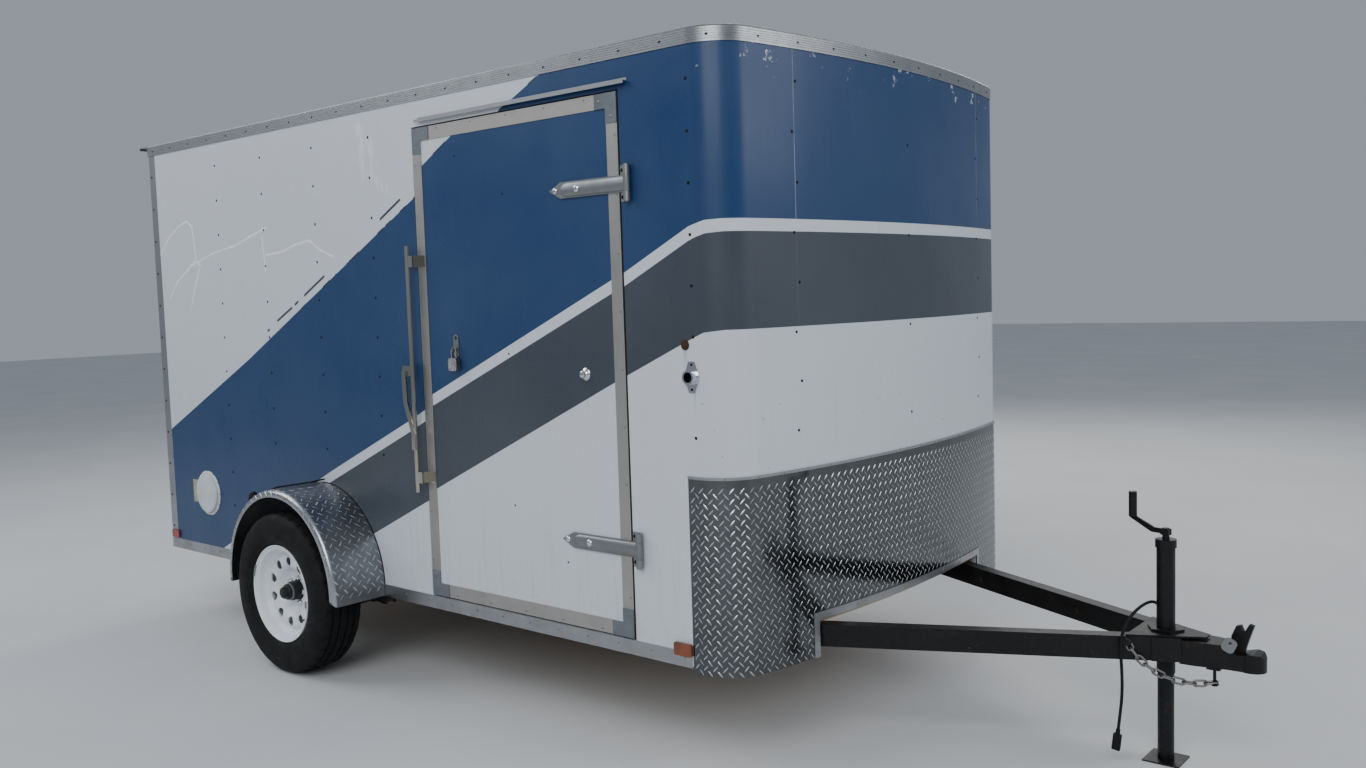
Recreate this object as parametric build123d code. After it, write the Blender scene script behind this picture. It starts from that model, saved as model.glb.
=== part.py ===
from build123d import *
import math
import os

# Enclosed single-axle cargo trailer, standing on its wheels and its tongue jack.
# Lengths are millimetres. Sizes are worked out with x from the rear face of the box,
# y to the left and z up from the ground, and each piece is moved to the model's
# frame, whose origin is under the middle of the whole trailer, when it is saved.

# Box
box_length = 3775.0
box_width = 1924.0
roof_top = 2384.0
body_bottom = 339.0
wall = 40.0
wall_lift = 6.0
roof_thickness = 38.0
front_bow = 110.0
corner_radius = 153.0
seat_gap = 0.3

# Chassis
frame_lift = 10.0
tube_width = 50.0
tube_height = 76.0
tube_wall = 4.0
cross_height = 50.0
cross_width = 40.0
cross_pitch = 406.0
floor_thickness = 19.0

# Roof and edge trim
roof_trim_height = 51.0
roof_trim_thickness = 3.0
roof_trim_lip = 24.0
bottom_trim_height = 51.0
bottom_trim_foot = 20.0
trim_thickness = 2.5
rear_drip_reach = 85.0
rear_drip_thickness = 4.0
rear_drip_lip = 14.0

# Stone guard and its cut-out above the tongue
guard_height = 645.0
guard_drop = 15.0
guard_wrap = 275.0
guard_thickness = 2.0
guard_rail_height = 9.0
guard_rail_overlap = 4.0
notch_margin = 53.0
notch_rise = 25.0
notch_trim = 26.0

# Side door
door_setback = 533.0
door_width = 1088.0
door_rise = 57.0
door_head = 118.0
door_gap = 6.0
door_frame_width = 50.0
door_frame_proud = 2.5
corner_cap_arm = 100.0
corner_cap_thickness = 2.5
side_hinge_reach = 49.0
side_hinge_rise = 310.0
side_hinge_drop = 302.0
side_strap_length = 377.0
door_drip_rise = 26.0
door_drip_height = 12.0
door_drip_reach = 20.0
door_drip_before = 36.0
door_drip_after = 48.0

# Side door's lock bar, hasp and holdback
lock_bar_radius = 9.0
lock_bar_stand_off = 34.0
lock_bar_behind = 26.0
lock_bar_rise = 413.0
lock_bar_drop = 451.0
lock_bracket_height = 44.0
lever_rise = 894.0
lever_length = 312.0
lever_swing = 46.0
lever_width = 22.0
hasp_inset = 212.0
hasp_rise = 976.0
hasp_width = 30.0
shackle_radius = 4.0
padlock_width = 48.0
holdback_rise = 897.0
holdback_reach = 238.0

# Strap hinges, shared by the side door and the rear doors
hinge_off = 18.0
hinge_barrel_radius = 12.0
hinge_pin_radius = 5.0
hinge_height = 119.0
strap_height = 56.0
strap_thickness = 4.0
strap_arch = 13.0
strap_point = 25.0
butt_length = 50.0
butt_thickness = 4.0
running_gap = 0.4

# Rear doors
rear_post = 60.0
rear_header = 112.0
rear_door_gap = 5.0
rear_hinge_out = 2.0
rear_hinge_margin = 190.0
rear_strap_length = 330.0
rear_bar_inset = 70.0
rear_bar_radius = 12.0
rear_lever_length = 260.0

# Wheels
axle_setback = 2355.0
tyre_radius = 344.0
tyre_width = 205.0
tyre_shoulder = 16.0
bead_radius = 190.5
wheel_out = 158.0
rim_width = 176.0
rim_flange_width = 12.0
rim_flange_height = 17.5
rim_well_depth = 18.5
rim_thickness = 5.0
rim_crown = 42.0
rim_crown_width = 46.0
hub_bore = 45.0
rim_hole_count = 10
rim_hole_radius = 18.0
rim_hole_circle = 130.0
lug_count = 5
lug_circle = 57.15
lug_radius = 11.0
spindle_radius = 17.0
hub_back = 60.0
hub_front = 78.0
spindle_end = 52.0

# Axle and springs
axle_tube_radius = 30.0
axle_tube_below_frame = 105.0
drop_arm_radius = 24.0
spring_length = 660.0
spring_width = 42.0
leaf_thickness = 7.0
spring_eye_radius = 17.0

# Fenders
fender_radius = 407.0
fender_rise = 35.0
fender_foot = 3.0
fender_width = 250.0
fender_thickness = 2.5
fender_roll = 18.0
fender_lip = 30.0
fender_flange = 24.0
fender_flange_thickness = 3.0

# Tongue
tongue_half_at_box = 530.0
ball_reach = 1169.0
tongue_end_back = 202.0
tongue_end_half = 58.4
tongue_middle_gap = 5.0
plate_behind_jack = 85.0
plate_before_jack = 130.0
plate_thickness = 6.0
coupler_tip = 41.0
coupler_wall = 6.0
coupler_drop = 6.0
coupler_nose_half = 36.0
coupler_wing = 70.0
ball_radius = 25.4
ball_clearance = 0.5
socket_depth = 30.0
latch_back = 34.0

# Jack
jack_back = 260.0
jack_outer_radius = 28.6
jack_tube_wall = 2.8
jack_below_frame = 59.0
jack_above_frame = 301.0
jack_cap_height = 26.0
jack_foot_size = 115.0
jack_foot_thickness = 5.0
jack_stroke = 250.0
jack_flange_radius = 58.0
crank_angle = 162.0
crank_arm = 124.0
crank_bend = 52.0
crank_lift = 36.0
crank_grip = 79.0
crank_rise = 24.0
crank_bar_width = 16.0
crank_bar_thickness = 8.0

# Safety chain
link_length = 46.0
link_width = 25.0
link_bar = 3.5
link_count = 10
link_play = 0.4
chain_start_back = 336.0
chain_start_rise = 63.0
chain_off_rail = 13.5
chain_end_back = 102.0
chain_end_half = 30.0
chain_end_drop = 48.0
chain_pin_radius = 5.0

# Lamps and vents
vent_x = 402.0
vent_rise = 314.0
vent_radius = 110.0
vent_cover_radius = 98.0
vent_cover_depth = 16.0
amber_back = 314.0
amber_rise = 59.0
amber_size = (76.0, 44.0, 9.0)
red_x = 46.0
red_rise = 75.0
red_size = (70.0, 38.0, 9.0)
fender_lamp_back = 211.0
fender_lamp_inset = 34.0
fender_lamp_radius = 25.0
fender_wire_radius = 4.0
tail_lamp_length = 150.0
tail_lamp_height = 54.0
tail_lamp_depth = 18.0
tail_lamp_insets = (162.0, 342.0)

# Wiring lead
lead_radius = 5.0
grommet_radius = 13.0
plug_width = 26.0
plug_thickness = 15.0
plug_length = 70.0

half_width = box_width / 2
wall_top = roof_top - roof_thickness
wall_bottom = body_bottom + wall_lift
frame_bottom = body_bottom + frame_lift
frame_top = frame_bottom + tube_height
door_thickness = wall - door_gap
spring_y = half_width - wall - tube_width / 2
nose_radius = (half_width ** 2 + front_bow ** 2) / (2 * front_bow)
nose_x = box_length - nose_radius
corner_y = half_width - corner_radius
corner_x = nose_x + math.sqrt((nose_radius - corner_radius) ** 2 - corner_y ** 2)
corner_turn = math.atan2(corner_y, corner_x - nose_x)
guard_bottom = body_bottom - guard_drop
guard_top = guard_bottom + guard_height
guard_rear_x = box_length - guard_wrap
notch_half = tongue_half_at_box + notch_margin
notch_top = frame_top + notch_rise
door_front_x = box_length - door_setback
door_rear_x = door_front_x - door_width
door_bottom = body_bottom + door_rise
door_top = wall_top - door_head
side_axis_x = door_front_x + side_hinge_reach
side_hinge_zs = (door_bottom + side_hinge_rise, door_top - side_hinge_drop)
holdback_z = door_bottom + holdback_rise
axle_x = box_length - axle_setback
axle_z = tyre_radius
axle_low_z = frame_bottom - axle_tube_below_frame
wheel_y = half_width + wheel_out
fender_centre_z = axle_z + fender_rise
fender_outer_y = half_width + fender_width
fender_bottom = body_bottom + fender_foot
ball_x = box_length + ball_reach
coupler_tip_x = ball_x + coupler_tip
tongue_end_x = ball_x - tongue_end_back
jack_x = ball_x - jack_back
jack_top = frame_top + jack_above_frame
middle_x = (coupler_tip_x - rear_drip_reach) / 2
right_side = -1
left_side = 1


def save(name, shape):
    """Write one piece, moved to the model's frame."""
    shape = Pos(-middle_x, 0, 0) * shape
    export_step(shape, f"parts/{name}.step")


def block(x0, x1, y0, y1, z0, z1):
    """A box between two corners."""
    size = Box(x1 - x0, y1 - y0, z1 - z0)
    return Pos((x0 + x1) / 2, (y0 + y1) / 2, (z0 + z1) / 2) * size


def rod(start, end, radius):
    """A round bar from one point to another."""
    line = Vector(*end) - Vector(*start)
    plane = Plane(origin=Vector(*start), z_dir=line)
    return extrude(plane * Circle(radius), line.length)


def outline(points):
    """A flat face inside straight lines from point to point."""
    return make_face(Polyline(*points, close=True))


def both_halves(points):
    """Points of one half of an outline, followed by their mirror images across the x axis."""
    return points + [(x, -y) for x, y in reversed(points)]


def both_sides(piece):
    """A piece and its mirror image across the trailer's middle."""
    return [piece, mirror(piece, Plane.XZ)]


def join(pieces):
    """Several touching solids as one."""
    whole = pieces[0]
    for piece in pieces[1:]:
        whole = whole + piece
    return whole


def group(pieces):
    """Separate solids kept in one node."""
    solids = []
    for piece in pieces:
        solids += piece.solids()
    return Compound(children=solids)


def plan(inset, rear_x=0.0):
    """The box seen from above, moved inwards by inset: straight sides, round corners, bowed front."""
    small = corner_radius - inset
    middle_turn = (math.pi / 2 + corner_turn) / 2
    side = half_width - inset
    nose = (box_length - inset, 0)

    def on_corner(turn, sign):
        return corner_x + small * math.cos(turn), sign * (corner_y + small * math.sin(turn))

    edges = [
        Line((rear_x, -side), (corner_x, -side)),
        ThreePointArc((corner_x, -side), on_corner(middle_turn, -1), on_corner(corner_turn, -1)),
        ThreePointArc(on_corner(corner_turn, -1), nose, on_corner(corner_turn, 1)),
        ThreePointArc(on_corner(corner_turn, 1), on_corner(middle_turn, 1), (corner_x, side)),
        Line((corner_x, side), (rear_x, side)),
        Line((rear_x, side), (rear_x, -side)),
    ]
    return make_face(edges)


def slab(face, z0, z1):
    """A flat face raised from z0 to z1."""
    return Pos(0, 0, z0) * extrude(face, z1 - z0)


def ring(outside, inside, z0, z1):
    """A band that follows the box's outline, from inset outside to inset inside."""
    return slab(plan(outside) - plan(inside, -1), z0, z1)


def front_of(x):
    """Everything ahead of x, to cut with."""
    return block(x, coupler_tip_x, -box_width, box_width, 0, roof_top + wall)


# Chassis
def chassis_rails():
    outer = half_width - wall
    rail = block(0, corner_x, outer - tube_width, outer, frame_bottom, frame_top)
    hollow = block(
        2 * tube_wall,
        corner_x - 2 * tube_wall,
        outer - tube_width + tube_wall,
        outer - tube_wall,
        frame_bottom + tube_wall,
        frame_top - tube_wall,
    )
    return group(both_sides(rail - hollow))


def cross_members():
    reach = half_width - wall - tube_width
    pieces = [
        block(0, tube_width, -reach, reach, frame_bottom, frame_top),
        block(corner_x - tube_width, corner_x, -reach, reach, frame_bottom, frame_top),
    ]
    count = int((corner_x - 2 * tube_width) // cross_pitch)
    pitch = (corner_x - tube_width) / (count + 1)
    for index in range(count):
        x = tube_width / 2 + pitch * (index + 1) - cross_width / 2
        pieces.append(block(x, x + cross_width, -reach, reach, frame_top - cross_height, frame_top))
    return group(pieces)


def floor_deck():
    return slab(plan(wall + seat_gap, rear_post), frame_top, frame_top + floor_thickness)


# Box
def side_wall(side):
    """A side wall, with the side door's opening on the right."""
    near, far = sorted((side * (half_width - wall), side * half_width))
    body = block(rear_post, corner_x, near, far, wall_bottom, wall_top)
    if side == right_side:
        body = body - block(
            door_rear_x - door_gap,
            door_front_x + door_gap,
            near - wall,
            far + wall,
            door_bottom - door_gap,
            door_top + door_gap,
        )
    return body


def tongue_notch():
    """The room that the front wall and the stone guard leave for the tongue."""
    return block(corner_x, coupler_tip_x, -notch_half, notch_half, 0, notch_top)


def front_wall():
    return (ring(0, wall, wall_bottom, wall_top) & front_of(corner_x)) - tongue_notch()


def roof():
    return slab(plan(0), wall_top, roof_top - roof_trim_thickness)


def rear_frame():
    """The hoop that the rear doors close into: two posts and the header."""
    inner = half_width - rear_post
    post = block(0, rear_post, inner, half_width, frame_top, wall_top)
    post = post + block(0, rear_post, half_width - wall, half_width, wall_bottom, frame_top)
    header = block(0, rear_post, -inner, inner, wall_top - rear_header, wall_top)
    return join(both_sides(post) + [header])


# Trim
def roof_trim():
    outer = -roof_trim_thickness - seat_gap
    band = ring(outer, -seat_gap, roof_top - roof_trim_height, roof_top)
    lip = ring(outer, roof_trim_lip, roof_top - roof_trim_thickness + seat_gap, roof_top)
    return band + lip


def rear_drip():
    half = half_width + roof_trim_thickness
    back = -rear_drip_reach
    cap = block(back, -seat_gap, -half, half, roof_top - rear_drip_thickness, roof_top)
    leg = block(-rear_drip_thickness - seat_gap, -seat_gap, -half, half, roof_top - roof_trim_height, roof_top)
    lip = block(back, back + rear_drip_thickness, -half, half, roof_top - rear_drip_lip, roof_top)
    return cap + leg + lip


def bottom_trim():
    outer = half_width + trim_thickness
    front_x = guard_rear_x - door_gap
    strip = block(0, front_x, half_width, outer, body_bottom, body_bottom + bottom_trim_height)
    foot = block(0, front_x, half_width - bottom_trim_foot, outer, body_bottom, body_bottom + trim_thickness)
    return group(both_sides(strip + foot))


def stone_guard():
    band = ring(-guard_thickness - seat_gap, -seat_gap, guard_bottom, guard_top) & front_of(guard_rear_x)
    return band - tongue_notch()


def guard_trim():
    """The rail along the guard's top edge and the angle round its cut-out."""
    base = -guard_thickness - 2 * seat_gap
    face = base - trim_thickness
    rail_top = guard_top + guard_rail_overlap
    rail = ring(face, base, rail_top - guard_rail_height, rail_top) & front_of(guard_rear_x)
    reach = notch_half + notch_trim
    around = ring(face, base, guard_bottom, notch_top + notch_trim) & front_of(corner_x)
    angle = (around & block(0, coupler_tip_x, -reach, reach, 0, roof_top)) - tongue_notch()
    return group([rail, angle])


# Strap hinges, drawn about their axis with the door towards -x and outwards towards -y
def hinge_strap(length, back_y):
    """Half-round pressed strap with a flat pointed tip and its knuckle. back_y is where it lies on the door."""
    half = strap_height / 2
    flat = length - strap_point
    tip = outline([(0, -half), (-flat, -half), (-length, 0), (-flat, half), (0, half)])
    plate = extrude(Plane.XZ.offset(-back_y) * tip, strap_thickness)
    arch_half = half - strap_thickness
    arch_radius = (arch_half ** 2 + strap_arch ** 2) / (2 * strap_arch)
    crown_y = back_y - strap_arch
    bar = rod((-flat, crown_y + arch_radius, 0), (0, crown_y + arch_radius, 0), arch_radius)
    side_view = outline([(0, back_y - 1), (0, crown_y - 1), (strap_arch - flat, crown_y - 1), (-flat, back_y - 1)])
    arch = bar & (Pos(0, 0, -half) * extrude(side_view, strap_height))
    knuckle = extrude(Circle(hinge_barrel_radius), half, both=True)
    bore = extrude(Circle(hinge_pin_radius + running_gap), strap_height, both=True)
    return plate + arch + knuckle - bore


def hinge_butt(leaf_from, leaf_to, leaf_thickness):
    """Leaf on the wall between two distances from the axis, with its two knuckles and the pin."""
    half = hinge_height / 2
    leaf_y = hinge_off - leaf_thickness
    leaf = block(leaf_from, leaf_to, leaf_y, hinge_off, -half, half)
    web_from, web_to = sorted((0, leaf_to if leaf_from >= 0 else leaf_from))
    pieces = [leaf, extrude(Circle(hinge_pin_radius), half + 3, both=True)]
    inner = strap_height / 2 + running_gap
    for z0, z1 in ((-half, -inner), (inner, half)):
        pieces.append(slab(Circle(hinge_barrel_radius), z0, z1))
        web = block(web_from, web_to, hinge_barrel_radius - 3, hinge_off, z0, z1)
        pieces.append(web & block(-butt_length / 2, butt_length / 2, 0, hinge_off, -half, half))
    return join(pieces)


# Side door
def side_door_frame():
    y0 = -half_width - door_frame_proud
    y1 = -half_width + door_thickness
    width = door_frame_width
    outer = block(door_rear_x, door_front_x, y0, y1, door_bottom, door_top)
    inner = block(
        door_rear_x + width, door_front_x - width, y0 - 1, y1 + 1, door_bottom + width, door_top - width
    )
    return outer - inner


def side_door_panel():
    width = door_frame_width + seat_gap
    return block(
        door_rear_x + width,
        door_front_x - width,
        -half_width,
        -half_width + door_thickness,
        door_bottom + width,
        door_top - width,
    )


def side_door_corners():
    """An L-shaped cap on each corner of the door frame."""
    y = -half_width - door_frame_proud
    arm = corner_cap_arm
    width = door_frame_width
    shape = outline([(0, 0), (arm, 0), (arm, width), (width, width), (width, arm), (0, arm)])
    cap = extrude(Plane.XZ * shape, corner_cap_thickness)
    pieces = []
    for x, turned_over in ((door_rear_x, False), (door_front_x, True)):
        side_cap = mirror(cap, Plane.YZ) if turned_over else cap
        pieces.append(Pos(x, y, door_bottom) * side_cap)
        pieces.append(Pos(x, y, door_top) * mirror(side_cap, Plane.XY))
    return group(pieces)


def side_door_straps():
    strap = hinge_strap(side_strap_length, hinge_off - door_frame_proud)
    return group([Pos(side_axis_x, -half_width - hinge_off, z) * strap for z in side_hinge_zs])


def side_hinge_butts():
    """Leaves behind the straps, between the door's edge and the axis."""
    leaf_from = door_gap + 1 - side_hinge_reach
    butt = hinge_butt(leaf_from, -hinge_barrel_radius, door_frame_proud - running_gap)
    return group([Pos(side_axis_x, -half_width - hinge_off, z) * butt for z in side_hinge_zs])


def side_lock_bar():
    """Upright lock bar in two brackets off the door's free edge, with its bent flat lever."""
    x = door_rear_x - lock_bar_behind
    y = -half_width - lock_bar_stand_off
    low = door_bottom + lock_bar_rise
    high = door_top - lock_bar_drop
    surface = -half_width - door_frame_proud
    pieces = [rod((x, y, low), (x, y, high), lock_bar_radius)]
    half = lock_bracket_height / 2
    front = door_rear_x + door_frame_width
    for z in (low + 60, high - 60):
        arm_y = y - lock_bar_radius / 2
        foot = block(door_rear_x + 4, front - 4, surface - 4, surface, z - half, z + half)
        web = block(door_rear_x + 4, door_rear_x + 10, arm_y, surface, z - half, z + half)
        arm = block(x, door_rear_x + 10, arm_y, arm_y + lock_bar_radius, z - half, z + half)
        pieces += [foot, web, arm]
    lever_z = door_bottom + lever_rise
    pivot = block(x - lever_swing - lever_width / 2, x, y - 5, y + 5, lever_z - 20, lever_z + 20)
    out = lever_swing + lever_width / 2
    thin = lever_width / 2
    lever = outline([
        (x - out, lever_z), (x - out + 4, lever_z - 0.4 * lever_length), (x - thin, lever_z - 0.8 * lever_length),
        (x - thin, lever_z - lever_length), (x + thin, lever_z - lever_length),
        (x + thin, lever_z - 0.8 * lever_length), (x - out + 30, lever_z - 0.4 * lever_length),
        (x - out + 24, lever_z),
    ])
    pieces += [pivot, extrude(Plane.XZ.offset(-y + 5) * lever, 7)]
    return join(pieces)


def side_door_hasp():
    """Hasp strap with a round eye above and the staple that the padlock hangs on."""
    x = door_rear_x + hasp_inset
    z = door_bottom + hasp_rise
    surface = -half_width
    face = RectangleRounded(hasp_width, 3 * hasp_width, hasp_width / 2 - 1)
    eye = Pos(0, hasp_width) * Circle(hasp_width / 4)
    strap = extrude(Plane.XZ.offset(-surface) * (Pos(x, z + hasp_width / 2) * (face - eye)), 4)
    return strap + rod((x, surface - 3, z), (x, surface - 26, z), 5)


def padlock():
    """Closed padlock whose shackle hangs on the hasp's staple."""
    x = door_rear_x + hasp_inset
    z = door_bottom + hasp_rise
    y = -half_width - 16
    half = padlock_width / 2
    body = block(x - half, x + half, y - 11, y + 11, z - 78, z - 30)
    body = chamfer(body.edges().filter_by(Axis.Y), 6)
    bend = 13.0
    bend_z = z + 5 + seat_gap - (bend - shackle_radius)
    path = Wire([
        Line((x - bend, y, z - 34), (x - bend, y, bend_z)),
        ThreePointArc((x - bend, y, bend_z), (x, y, bend_z + bend), (x + bend, y, bend_z)),
        Line((x + bend, y, bend_z), (x + bend, y, z - 34)),
    ])
    shackle = sweep(Plane(origin=path @ 0, z_dir=path % 0) * RegularPolygon(shackle_radius, 8), path=path)
    return body + shackle


def holdback_plunger():
    """Holdback stud on the door: base, neck and head."""
    x = side_axis_x - holdback_reach
    pieces = []
    for start, end, radius in ((0, 4, 22.0), (4, 14, 8.0), (14, 22, 11.0)):
        pieces.append(rod((x, -half_width - start, holdback_z), (x, -half_width - end, holdback_z), radius))
    return join(pieces)


def holdback_socket():
    """Diamond-shaped flange on the wall with the cup that catches the stud."""
    shape = outline([(-13, -50), (13, -50), (28, -10), (28, 10), (13, 50), (-13, 50), (-28, 10), (-28, -10)])
    flange = extrude(Plane.XZ * shape, 3)
    cup = extrude(Plane.XZ * Circle(23.5), 24)
    bore = extrude(Plane.XZ.offset(3) * Circle(17), 30)
    return Pos(side_axis_x + holdback_reach, -half_width, holdback_z) * (flange + cup - bore)


def side_door_drip():
    """Rain gutter over the side door."""
    y = -half_width
    thick = trim_thickness
    z0 = door_top + door_drip_rise
    x0 = door_rear_x + door_drip_before
    x1 = door_front_x + door_drip_after
    leg = block(x0, x1, y - thick, y, z0, z0 + door_drip_height)
    shelf = block(x0, x1, y - door_drip_reach, y, z0, z0 + thick)
    lip = block(x0, x1, y - door_drip_reach, y - door_drip_reach + thick, z0 - 3 * thick, z0 + thick)
    return leg + shelf + lip


# Rear doors
rear_half = half_width - rear_post
rear_axis_y = rear_half + rear_hinge_out
rear_door_bottom = frame_top + rear_door_gap
rear_door_top = wall_top - rear_header - rear_door_gap
rear_hinge_zs = (
    rear_door_bottom + rear_hinge_margin,
    (rear_door_bottom + rear_door_top) / 2,
    rear_door_top - rear_hinge_margin,
)


def rear_door_panel():
    """The right rear door; the left one is its mirror image."""
    return block(0, wall, rear_door_gap - rear_half, -rear_door_gap, rear_door_bottom, rear_door_top)


def on_rear_axis(piece):
    """A hinge piece turned to the right rear door's axis, at each hinge's height."""
    place = Pos(-hinge_off, -rear_axis_y, 0) * Rot(0, 0, -90)
    return [place * (Pos(0, 0, z) * piece) for z in rear_hinge_zs]


def rear_door_hardware():
    """Three straps, and the lock bar in its keepers with its lever."""
    y = -rear_bar_inset
    x = -lock_bar_stand_off
    height = rear_door_top - rear_door_bottom
    bar = rod((x, y, rear_door_bottom + 20), (x, y, rear_door_top - 20), rear_bar_radius)
    pieces = [bar]
    for share in (0.06, 0.36, 0.64, 0.94):
        z = rear_door_bottom + share * height
        foot = block(-5, 0, y - 45, y + 45, z - 22, z + 22)
        saddle = block(x - rear_bar_radius - 5, 0, y - 17, y + 17, z - 18, z + 18)
        pieces.append(foot + saddle)
    lever_z = rear_door_bottom + 0.42 * height
    lever = block(x - 22, x - 8, y - rear_lever_length, y, lever_z - 10, lever_z + 10)
    return group(on_rear_axis(hinge_strap(rear_strap_length, hinge_off)) + [join(pieces + [lever])])


def rear_hinge_butts():
    butts = []
    for butt in on_rear_axis(hinge_butt(hinge_barrel_radius + 2, butt_length, butt_thickness)):
        butts += both_sides(butt)
    return group(butts)


# Wheels, drawn with their axis along +Y from the wheel's middle plane outwards
def turned(points):
    """A solid of revolution about the wheel's axis from (distance outwards, radius) points."""
    return revolve(outline([(radius, along) for along, radius in points]), Axis.Y)


def wheel_place(side):
    spin = Pos(axle_x, side * wheel_y, axle_z)
    if side == right_side:
        return spin * Rot(0, 0, 180)
    return spin


def tyre():
    """Tubeless tyre from bead over sidewall and shoulder to the tread."""
    half = tyre_width / 2
    bead = rim_width / 2 - rim_flange_width - seat_gap
    above_flange = bead_radius + rim_flange_height + 2 * seat_gap
    # distance outwards, radius
    outer_half = [
        (bead, bead_radius + seat_gap),
        (bead, above_flange),
        (half, above_flange),
        (half, tyre_radius - tyre_shoulder),
        (half - tyre_shoulder, tyre_radius),
    ]
    inner_half = [(-along, radius) for along, radius in reversed(outer_half)]
    return turned(outer_half + inner_half)


def rim():
    """Steel wheel: rim with a drop centre, and a dished disc with round holes."""
    half = rim_width / 2
    flange = bead_radius + rim_flange_height
    bead = half - rim_flange_width
    well = bead_radius - rim_well_depth
    skin = rim_thickness
    seat = lug_circle + lug_radius + 2
    crown_top = rim_hole_circle + rim_crown_width / 2
    crown_bottom = rim_hole_circle - rim_crown_width / 2
    # distance outwards, radius
    points = [
        (-half, flange), (-bead - 2, flange), (-bead, bead_radius), (-24, well), (24, well),
        (bead, bead_radius), (bead + 2, flange), (half, flange), (half - 3, bead_radius - skin), (38, well - skin),
        (rim_crown, crown_top), (rim_crown, crown_bottom), (6, seat + 6), (0, seat), (0, hub_bore), (-skin, hub_bore),
        (-skin, seat + 9), (rim_crown - 8, crown_bottom + 7), (rim_crown - 8, crown_top - 7), (28, well - 2 * skin),
        (-26, well - skin), (-half + 4, bead_radius - skin),
    ]
    body = turned(points)
    for index in range(rim_hole_count):
        spot = Rot(0, index * 360 / rim_hole_count, 0) * Pos(rim_hole_circle, 0, 0)
        body = body - spot * extrude(Plane.XZ.offset(-80) * Circle(rim_hole_radius), 60)
    return body


def hub():
    """Hub with its wheel flange, stepped dust cap and wheel nuts, bored for the spindle."""
    bore = spindle_radius + seat_gap
    # distance outwards, radius
    points = [
        (-hub_back, bore), (-hub_back, 36), (-18, 36), (-18, 70), (-5.3, 70), (-5.3, 40), (36, 40), (39, 34),
        (56, 33), (58, 26), (74, 24), (hub_front, 17), (hub_front, 0), (spindle_end, 0), (spindle_end, bore),
    ]
    nuts = []
    for index in range(lug_count):
        spot = Rot(0, index * 360 / lug_count, 0) * Pos(lug_circle, 0, 0)
        nuts.append(spot * extrude(Plane.XZ.offset(-seat_gap) * RegularPolygon(lug_radius, 6), -18))
    return group([turned(points)] + nuts)


# Axle and springs
def axle():
    """Drop axle: a low tube whose ends rise outside the box to the two spindles."""
    arm_y = half_width + trim_thickness + 5 + drop_arm_radius
    tube_end = arm_y + drop_arm_radius / 2
    pieces = [rod((axle_x, -tube_end, axle_low_z), (axle_x, tube_end, axle_low_z), axle_tube_radius)]
    for side in (right_side, left_side):
        y = side * arm_y
        arm = rod((axle_x, y, axle_low_z), (axle_x, y, axle_z + drop_arm_radius), drop_arm_radius)
        shoulder = rod((axle_x, y, axle_z), (axle_x, side * (wheel_y - hub_back - 1), axle_z), spindle_radius + 4)
        spindle = rod((axle_x, y, axle_z), (axle_x, side * (wheel_y + spindle_end - 2), axle_z), spindle_radius)
        pieces += [arm, shoulder, spindle]
    return join(pieces)


def spring_pack(side):
    """Three leaves over the axle, the top one with an eye at each end in its hanger."""
    low = axle_low_z + axle_tube_radius + seat_gap
    eye_z = low + 2 * leaf_thickness + spring_eye_radius + 3
    y0 = side * spring_y - spring_width / 2
    y1 = side * spring_y + spring_width / 2
    cheek = (tube_width - spring_width) / 2
    half = spring_length / 2
    pieces = []
    for level, share in ((0, 0.5), (1, 0.76), (2, 1.0)):
        z = low + level * leaf_thickness
        pieces.append(block(axle_x - half * share, axle_x + half * share, y0, y1, z, z + leaf_thickness))
    reach = spring_eye_radius + 5
    for x in (axle_x - half, axle_x + half):
        hanger = block(x - reach, x + reach, y0 - cheek, y1 + cheek, eye_z - reach, frame_bottom)
        slot = block(x - reach - 1, x + reach + 1, y0 - seat_gap, y1 + seat_gap, 0, eye_z + spring_eye_radius + seat_gap)
        pieces += [
            rod((x, y0, eye_z), (x, y1, eye_z), spring_eye_radius),
            hanger - slot,
            rod((x, y0 - cheek, eye_z), (x, y1 + cheek, eye_z), spring_eye_radius / 2),
        ]
    return join(pieces)


def fender():
    """Half-round fender on the left side: its section turned round the wheel, short legs and a wall flange."""
    start = half_width + seat_gap + fender_flange_thickness
    outer = fender_outer_y
    thick = fender_thickness
    top = fender_radius
    # distance from the trailer's middle, radius round the wheel
    section = [
        (start, top), (outer - fender_roll, top), (outer - fender_roll / 4, top - fender_roll / 4),
        (outer, top - fender_roll), (outer, top - fender_lip), (outer - thick, top - fender_lip),
        (outer - thick, top - fender_roll), (outer - fender_roll / 4 - thick, top - fender_roll / 4 - thick / 2),
        (outer - fender_roll, top - thick), (start, top - thick),
    ]
    rear_face = outline([(-radius, y) for y, radius in section])
    leg = extrude(rear_face, fender_bottom - fender_centre_z)
    arch = revolve(rear_face, Axis.Y, revolution_arc=180)
    wall_ring = Circle(top) - Circle(top - thick - fender_flange)
    wall_ring = wall_ring & Pos(0, box_width / 2) * Rectangle(box_width, box_width)
    flange = extrude(Plane.XZ.offset(-half_width - seat_gap) * wall_ring, -fender_flange_thickness)
    trim_top = body_bottom + bottom_trim_height + seat_gap
    over_trim = block(0, box_length, half_width, start - seat_gap / 2, 0, trim_top)
    place = Pos(axle_x, 0, fender_centre_z)
    return place * join([arch, leg, mirror(leg, Plane.YZ), flange]) - over_trim


# Tongue
tongue_slope = (tongue_half_at_box - tongue_end_half) / (tongue_end_x - box_length)
tongue_angle = math.atan(tongue_slope)
rail_span = tube_width / math.cos(tongue_angle)


def rail_outer(x):
    """Distance of a tongue rail's outer face from the trailer's middle at x."""
    return tongue_half_at_box - tongue_slope * (x - box_length)


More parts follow.
